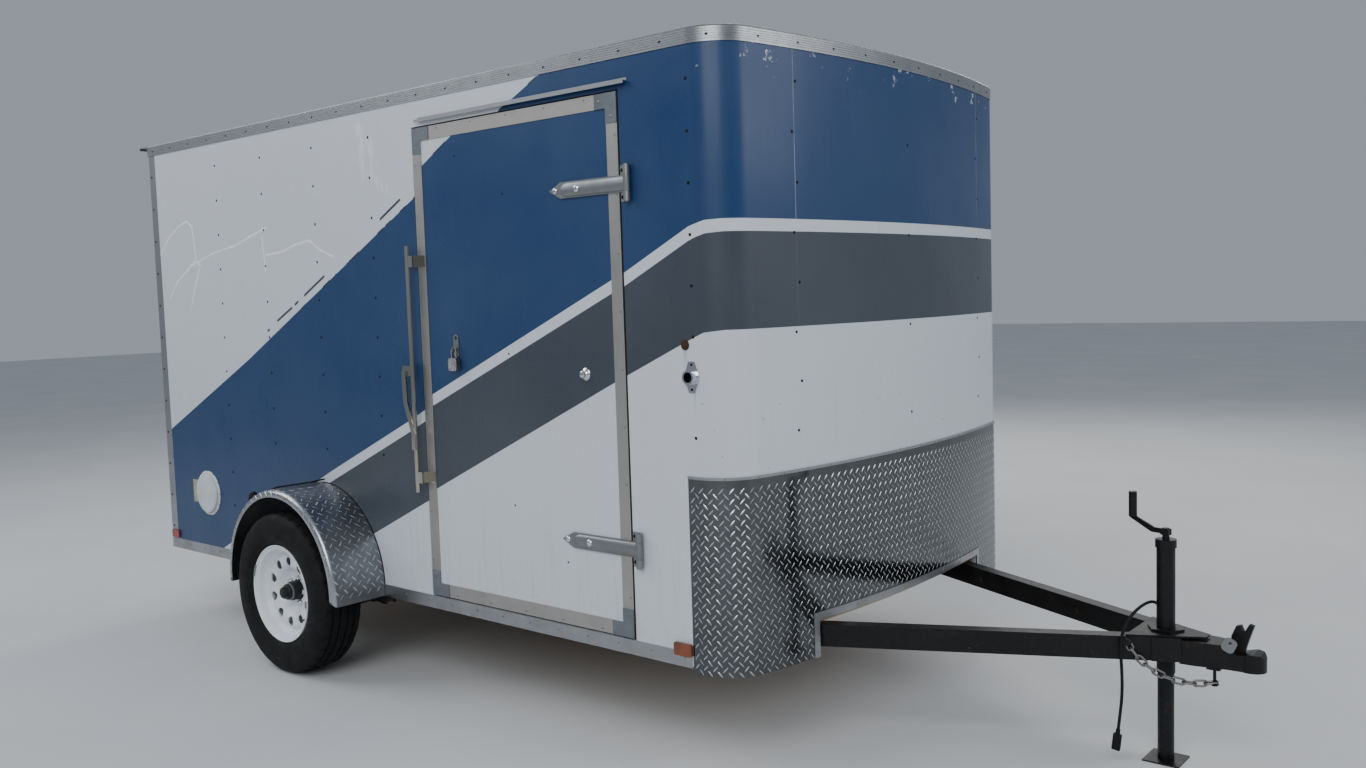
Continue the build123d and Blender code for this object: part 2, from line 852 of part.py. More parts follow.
def tongue_rails():
    """Two box-section rails that meet at the coupler, mitred at the middle and round the jack."""
    def rail_outline(x0, x1, skin):
        far = skin / math.cos(tongue_angle)
        near = rail_span - far
        return outline([
            (x0, rail_outer(x0) - near), (x0, rail_outer(x0) - far), (x1, rail_outer(x1) - far),
            (x1, rail_outer(x1) - near),
        ])

    rail = slab(rail_outline(corner_x, tongue_end_x, 0), frame_bottom, frame_top)
    inside = rail_outline(corner_x + 2 * tube_wall, jack_x - plate_behind_jack, tube_wall)
    rail = rail - slab(inside, frame_bottom + tube_wall, frame_top - tube_wall)
    jack_hole = Pos(jack_x, 0, frame_bottom - 1) * extrude(Circle(jack_outer_radius + seat_gap), tube_height + 2)
    left_half = block(corner_x, coupler_tip_x, tongue_middle_gap / 2, box_width, 0, roof_top)
    return group(both_sides((rail & left_half) - jack_hole))


def tongue_plate():
    ends = [(x, rail_outer(x) - 3) for x in (jack_x - plate_behind_jack, jack_x + plate_before_jack)]
    plate = slab(outline(both_halves(ends)), frame_top, frame_top + plate_thickness)
    hole = slab(Circle(jack_outer_radius + seat_gap), frame_top - 1, frame_top + plate_thickness + 1)
    return plate - Pos(jack_x, 0, 0) * hole


def coupler():
    """Pressed coupler: a tapered channel from the rails to the ball socket, with wings along the rails."""
    bottom = frame_bottom - coupler_drop
    top = frame_top
    x0 = tongue_end_x + 2
    nose_back = ball_x - 60
    shape = [(x0, tongue_end_half), (x0 + 40, tongue_end_half - 2), (nose_back, coupler_nose_half + 2)]
    ahead = shape + [(ball_x, coupler_nose_half)]
    tip = Pos(ball_x, 0) * Circle(coupler_tip)
    body = slab(outline(both_halves(ahead)), bottom, top) + slab(tip, bottom, top)
    side_view = outline([
        (x0 - 1, bottom), (x0 - 1, top - 6), (ball_x - 78, top - 6), (ball_x - 36, top - 34),
        (ball_x + 8, top - 24), (coupler_tip_x - 12, top - 26), (coupler_tip_x + 1, top - 44),
        (coupler_tip_x + 1, bottom),
    ])
    body = body & (Plane.XZ.offset(-box_width / 2) * extrude(side_view, box_width))
    channel = [(x, y - coupler_wall) for x, y in shape]
    channel[0] = (x0 - 1, channel[0][1])
    body = body - slab(outline(both_halves(channel)), bottom - 1, top - 40)
    socket = ball_radius + ball_clearance
    bore = slab(Circle(socket), bottom - 1, bottom + socket_depth)
    dome = Pos(0, 0, bottom + socket_depth) * Sphere(socket)
    body = body - Pos(ball_x, 0, 0) * bore - Pos(ball_x, 0, 0) * dome
    xa, xb = tongue_end_x - coupler_wing, x0 + 6
    ya, yb = rail_outer(xa) + seat_gap, rail_outer(xb) + seat_gap
    wing = outline([(xa, ya), (xa, ya + coupler_wall), (xb, yb + coupler_wall), (xb, yb)])
    return join([body] + both_sides(slab(wing, bottom + 6, top)))


def coupler_latch():
    """Forked latch lever that stands on the coupler's back."""
    x = ball_x - latch_back
    z = frame_top - 34 + seat_gap
    side_view = outline([
        (x - 14, z + 14), (x - 14, z + 8.2), (x - 2, z), (x + 12, z + 3.2), (x + 20, z + 30), (x + 40, z + 92),
        (x + 26, z + 96), (x + 11, z + 68), (x + 2, z + 90), (x - 12, z + 86), (x - 26, z + 52), (x - 24, z + 34),
    ])
    lever = Plane.XZ.offset(-9) * extrude(side_view, 18)
    return lever - block(x - 60, x + 60, -30, 30, 0, z)


def latch_plate():
    """Round-cornered lock plate on the coupler's near side."""
    place = Pos(ball_x - 56, frame_top - 2) * Rot(0, 0, -25)
    plate = place * (RectangleRounded(40, 46, 14) - Pos(0, 8) * Circle(5))
    return extrude(Plane.XZ.offset(coupler_nose_half + 5.5) * plate, 4)


# Jack
def jack_tube():
    bottom = frame_bottom - jack_below_frame
    shoulder = jack_top - jack_cap_height
    flange_z = frame_top + plate_thickness
    tube = slab(Circle(jack_outer_radius), bottom, shoulder)
    bore = slab(Circle(jack_outer_radius - jack_tube_wall), bottom - 1, shoulder - jack_cap_height)
    cap = slab(Circle(jack_outer_radius + 4), shoulder, jack_top)
    flange = slab(RegularPolygon(jack_flange_radius, 6), flange_z, flange_z + 8)
    return Pos(jack_x, 0, 0) * (tube + cap + flange - bore)


def jack_crank():
    """Stem with its bracket, cranked flat arm and upright grip, drawn along x and turned."""
    half = crank_bar_width / 2
    arm_view = outline([
        (-half, -half), (crank_bend, -half), (crank_arm + half, crank_lift - half), (crank_arm + half, crank_lift),
        (crank_arm - half, crank_lift), (crank_bend - half, half), (-half, half),
    ])
    arm = Plane.XZ.offset(-crank_bar_thickness / 2) * extrude(arm_view, crank_bar_thickness)
    stem = Pos(0, 0, -crank_rise) * slab(Circle(11), 0, crank_rise + half + 4)
    bracket = block(-half - 6, half + 6, -half - 2, half + 2, -half - 2, half + 2)
    grip = Pos(crank_arm, 0, crank_lift) * slab(Circle(13), -4, crank_grip)
    return Pos(jack_x, 0, jack_top + crank_rise) * Rot(0, 0, crank_angle) * join([arm, stem, bracket, grip])


def jack_leg():
    """Inner tube of the jack on its square foot."""
    radius = jack_outer_radius - jack_tube_wall - seat_gap
    top = jack_top - 2 * jack_cap_height - 10 - jack_stroke
    leg = Pos(jack_x, 0, 0) * slab(Circle(radius), jack_foot_thickness, top)
    half = jack_foot_size / 2
    return leg + block(jack_x - half, jack_x + half, -half, half, 0, jack_foot_thickness)


# Safety chain
def chain_link():
    """One link about the origin, long along x and flat in the xy plane, of a five-sided bar."""
    end = link_width / 2 - link_bar
    straight = (link_length - link_width) / 2
    cut = end * math.tan(math.pi / 8)
    path = Polyline((0, -end), (straight + cut, -end), (straight + end, -cut), (straight + end, cut),
                    (straight + cut, end), (0, end))
    section = Plane(origin=(0, -end, 0), z_dir=(1, 0, 0)) * RegularPolygon(link_bar, 5)
    half = sweep(section, path=path, transition=Transition.RIGHT)
    return half + mirror(half, Plane.YZ)


def safety_chain():
    """Chain in a shallow arc from a bolt on the right rail to a bolt under the coupler."""
    start_x = ball_x - chain_start_back
    off = chain_off_rail / math.cos(tongue_angle)
    start = Vector(start_x, -rail_outer(start_x) - off, frame_bottom + chain_start_rise)
    end = Vector(ball_x - chain_end_back, -chain_end_half, frame_bottom - coupler_drop - chain_end_drop)
    inside = link_length / 2 - 2 * link_bar
    pin_reach = inside - chain_pin_radius - link_play / 2
    pitch = 2 * inside - link_play
    length = 2 * pin_reach + (link_count - 1) * pitch
    chord = end - start
    # half of the arc's angle, from the ratio of chord to length
    half_turn = math.sqrt(6 * (1 - chord.length / length)) * 1.04
    sag = length / (2 * half_turn) * (1 - math.cos(half_turn))
    sideways = chord.cross(Vector(0, 0, 1)).normalized()
    down = chord.cross(sideways).normalized()
    if down.Z > 0:
        down = -down
    line = ThreePointArc(start, (start + end) / 2 + down * sag, end)
    link = chain_link()
    pieces = []
    for index in range(link_count):
        along = (pin_reach + index * pitch) / length
        tangent = line % along
        flat = sideways if index % 2 == 0 else tangent.cross(sideways)
        pieces.append(Plane(origin=line @ along, x_dir=tangent, z_dir=flat) * link)
    print("chain gap", round(line.length - length, 2))
    normal = Vector(math.sin(tongue_angle), -math.cos(tongue_angle), 0)
    face = start - normal * chain_off_rail
    tip = start + normal * (2 * link_bar)
    pin = extrude(Plane(origin=face, z_dir=normal) * RegularPolygon(chain_pin_radius, 6), (tip - face).length)
    head = extrude(Plane(origin=tip - normal * 2, z_dir=normal) * RegularPolygon(2 * chain_pin_radius, 6), 5)
    pieces.append(pin + head)
    lug_z = frame_bottom - coupler_drop
    nut_z = end.Z - 2 * link_bar
    lug = block(end.X - 20, end.X + 20, -coupler_nose_half - 12, coupler_nose_half + 12, lug_z - 6, lug_z)
    bolt = slab(RegularPolygon(chain_pin_radius, 6), nut_z, lug_z - 5)
    bolt = bolt + slab(RegularPolygon(2 * chain_pin_radius, 6), nut_z - 6, nut_z)
    pieces.append(lug + Pos(end.X, end.Y, 0) * bolt)
    return group(pieces)


# Lamps and vents
def side_vents():
    """Round covers over the flow-through vents, one on each side."""
    flange = extrude(Plane.XZ * Circle(vent_radius), -4)
    cover = extrude(Plane.XZ * Circle(vent_cover_radius), -vent_cover_depth, taper=30)
    return group(both_sides(Pos(vent_x, half_width, body_bottom + vent_rise) * (flange + cover)))


def marker_lamp(width, height, depth):
    """A side marker lamp, drawn outwards towards +y."""
    return extrude(Plane.XZ * RectangleRounded(width, height, height * 0.2), -depth)


def amber_markers():
    place = Pos(box_length - amber_back, half_width + trim_thickness, body_bottom + amber_rise)
    return group(both_sides(place * marker_lamp(*amber_size)))


def red_markers():
    return group(both_sides(Pos(red_x, half_width, body_bottom + red_rise) * marker_lamp(*red_size)))


def fender_lamps():
    """Round lamp on each fender, with the short lead that lies along the fender to the wall."""
    def on_fender(x, y, lift):
        height = fender_centre_z + math.sqrt((fender_radius + lift) ** 2 - (x - axle_x) ** 2)
        return Vector(x, y, height)

    x = axle_x - fender_lamp_back
    y = fender_outer_y - fender_lamp_inset
    lean = math.degrees(math.asin(-fender_lamp_back / fender_radius))
    base = slab(Circle(fender_lamp_radius), 0, 9)
    dome = Pos(0, 0, 9) * extrude(Circle(fender_lamp_radius - 3), 17, taper=18)
    lamp = Pos(*on_fender(x, y, seat_gap)) * Rot(0, lean, 0) * (base + dome)
    wire_lift = fender_wire_radius + 3
    corners = [
        on_fender(x + 22, y - 6, wire_lift),
        on_fender(x + 100, y - 50, wire_lift + 2),
        on_fender(axle_x - 6, half_width + 60, wire_lift + 3),
        on_fender(axle_x - 2, half_width + seat_gap, wire_lift + 8),
    ]
    wire = sweep(
        Plane(origin=corners[0], z_dir=corners[1] - corners[0]) * RegularPolygon(fender_wire_radius, 6),
        path=Polyline(*corners),
        transition=Transition.RIGHT,
    )
    return group(both_sides(lamp + wire))


def tail_lamps():
    """Two stop and tail lamps on each side, on the rear cross member."""
    z = (frame_bottom + frame_top) / 2
    lens = RectangleRounded(tail_lamp_length, tail_lamp_height, tail_lamp_height / 2 - 1)
    pieces = []
    for inset in tail_lamp_insets:
        pieces += both_sides(Pos(0, half_width - inset, z) * extrude(Plane.YZ * lens, -tail_lamp_depth))
    return group(pieces)


# Wiring lead: route of its centre line from the grommet on the tongue plate, over the right rail,
# as distances ahead of the jack's axis, to the left and above the rails
lead_route = [
    (-38, 62, 20),
    (-38, 62, 49),
    (-39, 47, 79),
    (-44, 14, 100),
    (-53, -32, 102),
    (-67, -80, 88),
    (-81, -125, 56),
    (-89, -151, 9),
    (-90, -155, -51),
    (-86, -154, -119),
    (-87, -151, -183),
    (-94, -148, -245),
    (-102, -145, -303),
]
lead_points = [Vector(jack_x + x, y, frame_top + z) for x, y, z in lead_route]


def lead_grommet():
    """Rubber boot on the tongue plate that the lead leaves through."""
    top = lead_points[0]
    seat = frame_top + plate_thickness
    boot = extrude(Circle(grommet_radius), top.Z - seat, taper=20)
    return Pos(top.X, top.Y, seat) * boot


def wiring_lead():
    radii = []
    for before, here, after in zip(lead_points, lead_points[1:], lead_points[2:]):
        turn = math.radians((here - before).get_angle(after - here))
        shorter = min((here - before).length, (after - here).length)
        radii.append(0.45 * shorter / math.tan(turn / 2))
    print("lead radii", [round(radius) for radius in radii])
    path = FilletPolyline(*lead_points, radius=radii)
    start = Plane(origin=path @ 0, z_dir=path % 0)
    tube = sweep(start * Circle(lead_radius), path=path)
    ratio = tube.volume / (math.pi * lead_radius ** 2 * path.length)
    print("lead length", round(path.length), "volume ratio", round(ratio, 3))
    return tube


def lead_plug():
    """Flat four-way plug moulded on the lead's end."""
    end = lead_points[-1]
    line = end - lead_points[-2]
    plane = Plane(origin=end + line.normalized() * seat_gap, x_dir=line.cross(Vector(0, 1, 0)), z_dir=line)
    neck = extrude(plane * Circle(lead_radius + 2), plug_length / 3)
    body = plane.offset(plug_length / 4) * RectangleRounded(plug_width, plug_thickness, 3)
    return neck + extrude(body, plug_length * 3 / 4)


if __name__ == "__main__":
    os.makedirs("parts", exist_ok=True)
    save("chassis_rails", chassis_rails())
    save("cross_members", cross_members())
    save("floor_deck", floor_deck())
    save("wall_right", side_wall(right_side))
    save("wall_left", side_wall(left_side))
    save("wall_front", front_wall())
    save("roof", roof())
    save("rear_frame", rear_frame())
    save("roof_trim", roof_trim())
    save("rear_drip", rear_drip())
    save("bottom_trim", bottom_trim())
    save("stone_guard", stone_guard())
    save("guard_trim", guard_trim())
    save("side_door_panel", side_door_panel())
    save("side_door_frame", side_door_frame())
    save("side_door_corners", side_door_corners())
    save("side_door_straps", side_door_straps())
    save("side_hinge_butts", side_hinge_butts())
    save("side_lock_bar", side_lock_bar())
    save("side_door_hasp", side_door_hasp())
    save("padlock", padlock())
    save("holdback_plunger", holdback_plunger())
    save("holdback_socket", holdback_socket())
    save("side_door_drip", side_door_drip())
    save("rear_door_right", rear_door_panel())
    save("rear_door_left", mirror(rear_door_panel(), Plane.XZ))
    save("rear_hardware_right", rear_door_hardware())
    save("rear_hardware_left", group([mirror(rear_door_hardware(), Plane.XZ)]))
    save("rear_hinge_butts", rear_hinge_butts())
    for side, label in ((right_side, "right"), (left_side, "left")):
        save(f"tyre_{label}", wheel_place(side) * tyre())
        save(f"rim_{label}", wheel_place(side) * rim())
        save(f"hub_{label}", wheel_place(side) * hub())
    save("axle", axle())
    save("leaf_springs", group([spring_pack(right_side), spring_pack(left_side)]))
    save("fender_left", fender())
    save("fender_right", mirror(fender(), Plane.XZ))
    save("tongue_rails", tongue_rails())
    save("tongue_plate", tongue_plate())
    save("coupler", coupler())
    save("coupler_latch", coupler_latch())
    save("latch_plate", latch_plate())
    save("safety_chain", safety_chain())
    save("jack_tube", jack_tube())
    save("jack_crank", jack_crank())
    save("jack_leg", jack_leg())
    save("side_vents", side_vents())
    save("amber_markers", amber_markers())
    save("red_markers", red_markers())
    save("fender_lamps", fender_lamps())
    save("tail_lamps", tail_lamps())
    save("lead_grommet", lead_grommet())
    save("wiring_lead", wiring_lead())
    save("lead_plug", lead_plug())
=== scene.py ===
import bpy
import bmesh
from functools import partialmethod
from math import asin, atan, atan2, cos, pi, radians, sin, sqrt
from mathutils import Matrix, Vector


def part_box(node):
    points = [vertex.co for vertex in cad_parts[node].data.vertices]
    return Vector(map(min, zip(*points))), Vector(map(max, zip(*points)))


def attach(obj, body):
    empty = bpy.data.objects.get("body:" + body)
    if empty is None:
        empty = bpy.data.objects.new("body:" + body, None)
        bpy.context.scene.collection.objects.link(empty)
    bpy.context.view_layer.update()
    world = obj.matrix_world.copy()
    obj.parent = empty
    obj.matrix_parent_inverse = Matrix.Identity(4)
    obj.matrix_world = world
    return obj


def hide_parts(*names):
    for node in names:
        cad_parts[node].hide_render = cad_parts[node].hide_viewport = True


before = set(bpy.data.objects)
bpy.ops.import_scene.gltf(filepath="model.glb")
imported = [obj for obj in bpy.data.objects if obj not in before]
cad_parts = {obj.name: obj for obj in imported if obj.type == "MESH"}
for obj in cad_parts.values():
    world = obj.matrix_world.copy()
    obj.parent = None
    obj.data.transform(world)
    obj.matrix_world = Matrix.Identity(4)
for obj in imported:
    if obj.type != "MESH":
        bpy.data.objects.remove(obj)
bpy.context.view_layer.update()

# Sizes in metres, x from the rear face of the box, y to the left, z up
REAR_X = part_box("rear_frame")[0].x
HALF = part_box("wall_left")[1].y
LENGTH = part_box("roof")[1].x - REAR_X
ROOF_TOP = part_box("roof_trim")[1].z
BODY_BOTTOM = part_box("bottom_trim")[0].z
FRONT_BOW = 0.110
CORNER_RADIUS = 0.153
NOSE_RADIUS = (HALF ** 2 + FRONT_BOW ** 2) / (2 * FRONT_BOW)
NOSE_X = LENGTH - NOSE_RADIUS
CORNER_Y = HALF - CORNER_RADIUS
CORNER_X = NOSE_X + sqrt((NOSE_RADIUS - CORNER_RADIUS) ** 2 - CORNER_Y ** 2)
CORNER_TURN = atan2(CORNER_Y, CORNER_X - NOSE_X)
CORNER_LENGTH = (pi / 2 - CORNER_TURN) * CORNER_RADIUS
AROUND = 2 * (CORNER_X + CORNER_LENGTH + CORNER_TURN * NOSE_RADIUS)
AXLE_X = 1.42
# Half the width and the top of the stone guard's cut-out over the tongue
NOTCH_HALF = 0.583
NOTCH_TOP = 0.45
# Seams of the front's sheets, this far from the middle
SEAM_Y = 0.647
# Edges that bend more than this are shaded hard
CREASE = radians(34)
SIDES = ((-1, "right"), (1, "left"))


def middle(name):
    """Centre of a CAD node's box."""
    low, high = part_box(name)
    return (low + high) / 2


def new_object(name, data):
    thing = bpy.data.objects.new(name, data)
    bpy.context.scene.collection.objects.link(thing)
    return thing


# Camera
camera_data = bpy.data.cameras.new("camera")
camera = new_object("camera", camera_data)
camera_right = Vector((0.76430, 0.64411, -0.03127))
camera_up = Vector((-0.02511, 0.07818, 0.99662))
camera_ahead = Vector((-0.64438, 0.76093, -0.07592))
camera.matrix_world = Matrix((camera_right, camera_up, -camera_ahead)).transposed().to_4x4()
camera.matrix_world.translation = Vector((3.4648, -3.8260, 1.5559))
camera_data.lens = 30.94
camera_data.sensor_width = 36
bpy.context.scene.camera = camera


# Materials
MATERIALS = {}


class Shader:
    """One material, kept in MATERIALS, with short calls for the nodes that it needs."""

    def __init__(self, name, base, roughness, metallic=0.0):
        material = MATERIALS[name] = bpy.data.materials.new(name)
        material.use_nodes = True
        self.tree = material.node_tree
        self.bsdf = self.tree.nodes["Principled BSDF"]
        self.look(base, roughness)
        self.set("Metallic", metallic)
        self.place = self.node("TexCoord", {})["Object"]
        self.x, self.y, self.z = self.node("SeparateXYZ", {0: self.place})

    def set(self, socket, value):
        """Set a shader input to a constant or to a node's output."""
        self.give(self.bsdf.inputs[socket], value)

    def give(self, socket, value):
        if isinstance(value, bpy.types.NodeSocket):
            self.tree.links.new(value, socket)
        elif isinstance(value, tuple) and socket.type == "RGBA":
            socket.default_value = (*value, 1)
        else:
            socket.default_value = value

    def node(self, kind, inputs, **settings):
        """The outputs of a new node with its settings, and its inputs by name or number."""
        node = self.tree.nodes.new("ShaderNode" + kind)
        for name, value in settings.items():
            setattr(node, name, value)
        for socket, value in inputs.items():
            self.give(node.inputs[socket], value)
        return node.outputs

    def fold(self, operation, first, *others):
        """Values joined by one operation, from the left."""
        for value in others:
            first = self.node("Math", {0: first, 1: value}, operation=operation)[0]
        return first

    plus = partialmethod(fold, "ADD")
    minus = partialmethod(fold, "SUBTRACT")
    times = partialmethod(fold, "MULTIPLY")
    most = partialmethod(fold, "MAXIMUM")
    least = partialmethod(fold, "MINIMUM")

    def absolute(self, value):
        return self.node("Math", {0: value}, operation="ABSOLUTE")[0]

    def vector(self, operation, *values, out="Vector", **named):
        inputs = {**dict(enumerate(values)), **named}
        return self.node("VectorMath", inputs, operation=operation)[out]

    def flat(self, first, second):
        """A vector in one plane."""
        return self.node("CombineXYZ", {0: first, 2: second})[0]

    def stretched(self, stretch):
        return self.node("Mapping", {"Vector": self.place, "Scale": stretch})[0]

    def noise(self, scale, detail, stretch=None, roughness=0.5, distortion=0.0):
        place = self.stretched(stretch) if stretch else self.place
        inputs = {"Vector": place, "Scale": scale, "Detail": detail, "Roughness": roughness,
                  "Distortion": distortion}
        return self.node("TexNoise", inputs)["Fac"]

    def ribs(self, scale):
        """Waves along z."""
        return self.node("TexWave", {"Vector": self.place, "Scale": scale}, bands_direction="Z")["Fac"]

    def span(self, value, low, high, to_low=0.0, to_high=1.0, smooth=False):
        """Map a value from one range to another, held at its ends."""
        inputs = {"Value": value, "From Min": low, "From Max": high, "To Min": to_low, "To Max": to_high}
        way = "SMOOTHSTEP" if smooth else "LINEAR"
        return self.node("MapRange", inputs, interpolation_type=way)[0]

    def spots(self, scale, detail, low, high, to_low=0.0, to_high=1.0, **look):
        """Noise mapped from one range to another."""
        return self.span(self.noise(scale, detail, **look), low, high, to_low, to_high)

    def mix(self, share, first, second):
        return self.node("Mix", {0: share, 6: first, 7: second}, data_type="RGBA")[2]

    def polyline(self, points):
        """Height along x of a line through (x, z) points in metres, x from the box's rear face."""
        height = points[0][1]
        for (x0, z0), (x1, z1) in zip(points, points[1:]):
            height = self.plus(height, self.span(self.x, REAR_X + x0, REAR_X + x1, 0.0, z1 - z0))
        return height

    def past(self, start, end):
        """0 at start and 1 at end, both x from the box's rear face."""
        return self.span(self.x, REAR_X + start, REAR_X + end)

    def above(self, height, blur=0.0006):
        """1 where the surface is higher than height, 0 below."""
        return self.span(self.minus(self.z, height), -blur, blur)

    def on_right(self):
        """1 on the right half of the trailer."""
        return self.span(self.y, 0.0, -0.01)

    def near_lines(self, lines, waver=0.012):
        """Distance to lines of (x, z) points on a side of the box, drawn with a slight waver."""
        wander = self.times(self.minus(self.noise(11, 2), 0.5), waver)
        flat = self.flat(self.plus(self.x, wander), self.plus(self.z, wander))
        gaps = []
        for line in lines:
            for (x0, z0), (x1, z1) in zip(line, line[1:]):
                step = Vector((x1 - x0, 0, z1 - z0))
                away = self.vector("SUBTRACT", flat, (REAR_X + x0, 0, z0))
                share = self.vector("DOT_PRODUCT", away, step / step.length_squared, out="Value")
                share = self.most(self.least(share, 1.0), 0.0)
                foot = self.vector("SCALE", step, Scale=share)
                gaps.append(self.vector("DISTANCE", away, foot, out="Value"))
        return self.least(*gaps)

    def bump(self, height, strength, distance):
        """Bump on top of what is there already."""
        inputs = {"Height": height, "Strength": strength, "Distance": distance}
        normal = self.bsdf.inputs["Normal"]
        if normal.is_linked:
            inputs["Normal"] = normal.links[0].from_socket
        self.set("Normal", self.node("Bump", inputs)[0])

    def look(self, colour, roughness):
        self.set("Base Color", colour)
        self.set("Roughness", roughness)

    def lacquer(self, specular, coat, roughness):
        self.set("Specular IOR Level", specular)
        self.set("Coat Weight", coat)
        self.set("Coat Roughness", roughness)


WHITE = (0.62, 0.65, 0.69)
BLUE = (0.008, 0.040, 0.122)
GREY = (0.044, 0.053, 0.068)
DUST = (0.12, 0.11, 0.10)
PIN_WIDTH = 0.044
# Stripe edges of each panel as (x, z) points
WALL_LINES = {
    "white": [(0.0, 0.927), (0.847, 1.317), (2.15, 1.967), (2.623, 2.22), (2.874, 2.332), (3.2, 2.49)],
    "pin": [(0.0, 0.149), (0.512, 0.389), (1.456, 0.831), (2.03, 1.078), (3.253, 1.636), (3.53, 1.769),
            (3.59, 1.786), (3.64, 1.789)],
    "grey": [(1.0, 0.246), (1.761, 0.594), (2.159, 0.776), (3.252, 1.294), (3.497, 1.4), (3.578, 1.434),
             (3.64, 1.441)],
}
DOOR_LINES = {
    "white": [(2.15, 2.055), (2.221, 2.092), (2.374, 2.171), (2.7, 2.339)],
    "pin": [(2.15, 1.174), (2.235, 1.21), (3.177, 1.606), (3.245, 1.635)],
    "grey": [(2.15, 0.8), (2.226, 0.834), (3.18, 1.263), (3.245, 1.292)],
}
# Pale scratches on the right wall as (x, z) points
SCRATCHES = [
    [(0.034, 1.811), (0.154, 1.917), (0.256, 1.965), (0.34, 1.987), (0.392, 1.955), (0.406, 1.875),
     (0.418, 1.791), (0.453, 1.767), (0.397, 1.679), (0.345, 1.576)],
    [(0.418, 1.791), (0.359, 1.77), (0.221, 1.699), (0.13, 1.615)],
    [(0.43, 1.786), (0.589, 1.824), (0.77, 1.844), (0.929, 1.884), (1.064, 1.916)],
    [(1.023, 1.87), (1.03, 1.808), (1.037, 1.721)],
    [(1.051, 1.795), (1.18, 1.8), (1.308, 1.829), (1.4, 1.839), (1.484, 1.795), (1.582, 1.761)],
]
# Wiped smears, wider and fainter
SMEARS = [
    [(1.792, 2.277), (1.824, 2.167), (1.807, 2.075)],
    [(1.869, 2.212), (1.903, 2.13), (1.865, 2.084), (1.966, 2.005)],
    [(0.385, 1.785), (0.45, 1.778)],
]
# Dark rub marks above the blue's edge
RUBS = [
    [(1.03, 1.451), (1.041, 1.456)], [(1.116, 1.496), (1.236, 1.551)], [(1.266, 1.566), (1.288, 1.578)],
    [(1.343, 1.604), (1.499, 1.681)], [(1.921, 1.897), (2.052, 1.963)],
]


def weather(mat, colour):
    """Chalking, fine runs that thicken low down, and splashed dirt."""
    colour = mat.mix(mat.spots(1.3, 5, 0.35, 0.75, 0.0, 0.06, roughness=0.6), colour, (0.30, 0.36, 0.42))
    runs = mat.spots(9, 4, 0.52, 0.8, 0.0, 0.22, stretch=(6, 6, 0.25))
    colour = mat.mix(mat.times(runs, mat.span(mat.z, 0.9, 0.38, 0.25, 1.0)), colour, (0.13, 0.12, 0.10))
    dust = mat.spots(38, 6, 0.52, 0.85, 0.0, 0.24, roughness=0.7)
    splash = mat.span(mat.z, 0.62, 0.36, smooth=True)
    return mat.mix(mat.times(dust, splash), colour, (0.15, 0.13, 0.10))


def scratches(mat):
    """Thin pale scratches that branch near the rear edge of the right wall, and faint wiped smears."""
    thin = mat.span(mat.near_lines(SCRATCHES), 0.006, 0.002)
    broken = mat.spots(34, 3, 0.38, 0.62, 0.45, 1.0)
    haze = mat.span(mat.near_lines(SMEARS, 0.05), 0.032, 0.0, 0.0, 0.6, smooth=True)
    streaks = mat.spots(20, 3, 0.4, 0.7, stretch=(4, 1, 0.6))
    return mat.times(mat.most(mat.times(thin, broken), mat.times(haze, streaks)), mat.on_right())


def drips(mat, places):
    """Grey runs under fittings, given as (x, top z, length) on a side of the box."""
    runs = []
    for x, top, length in places:
        across = mat.absolute(mat.minus(mat.x, REAR_X + x))
        runs.append(mat.times(
            mat.span(across, 0.013, 0.002), mat.span(mat.z, top - length, top - length * 0.2),
            mat.span(mat.z, top + 0.004, top), mat.spots(60, 3, 0.35, 0.65, stretch=(6, 1, 0.3))))
    return mat.most(*runs)


def plywood_colour(mat, across=False):
    grain = mat.noise(7, 5, (1, 0.6, 9) if across else (0.6, 1, 9), 0.65, 0.6)
    colour = mat.mix(mat.span(grain, 0.35, 0.7), (0.42, 0.28, 0.15), (0.62, 0.46, 0.28))
    cells = mat.node("TexVoronoi", {"Vector": mat.stretched((0.5, 1, 1.6)), "Scale": 3.2})["Distance"]
    knots = mat.span(cells, 0.03, 0.07, 1.0, 0.0)
    return mat.mix(mat.times(knots, 0.7), colour, (0.20, 0.11, 0.05))


def sheet_gloss(mat):
    """Slight waves and gloss of painted sheet."""
    mat.bump(mat.noise(1.1, 2, (1, 1, 0.6)), 0.25, 0.01)
    mat.lacquer(0.35, 0.15, 0.12)


def bands(mat, lines, pin_width=PIN_WIDTH):
    """White, the grey band, a white pinstripe and blue above them, and where it is grey and blue."""
    pin = mat.polyline(lines["pin"])
    in_grey = mat.above(mat.polyline(lines["grey"]))
    in_blue = mat.above(pin)
    colour = mat.mix(mat.above(mat.minus(pin, pin_width)), mat.mix(in_grey, WHITE, GREY), WHITE)
    return mat.mix(in_blue, colour, BLUE), in_grey, in_blue


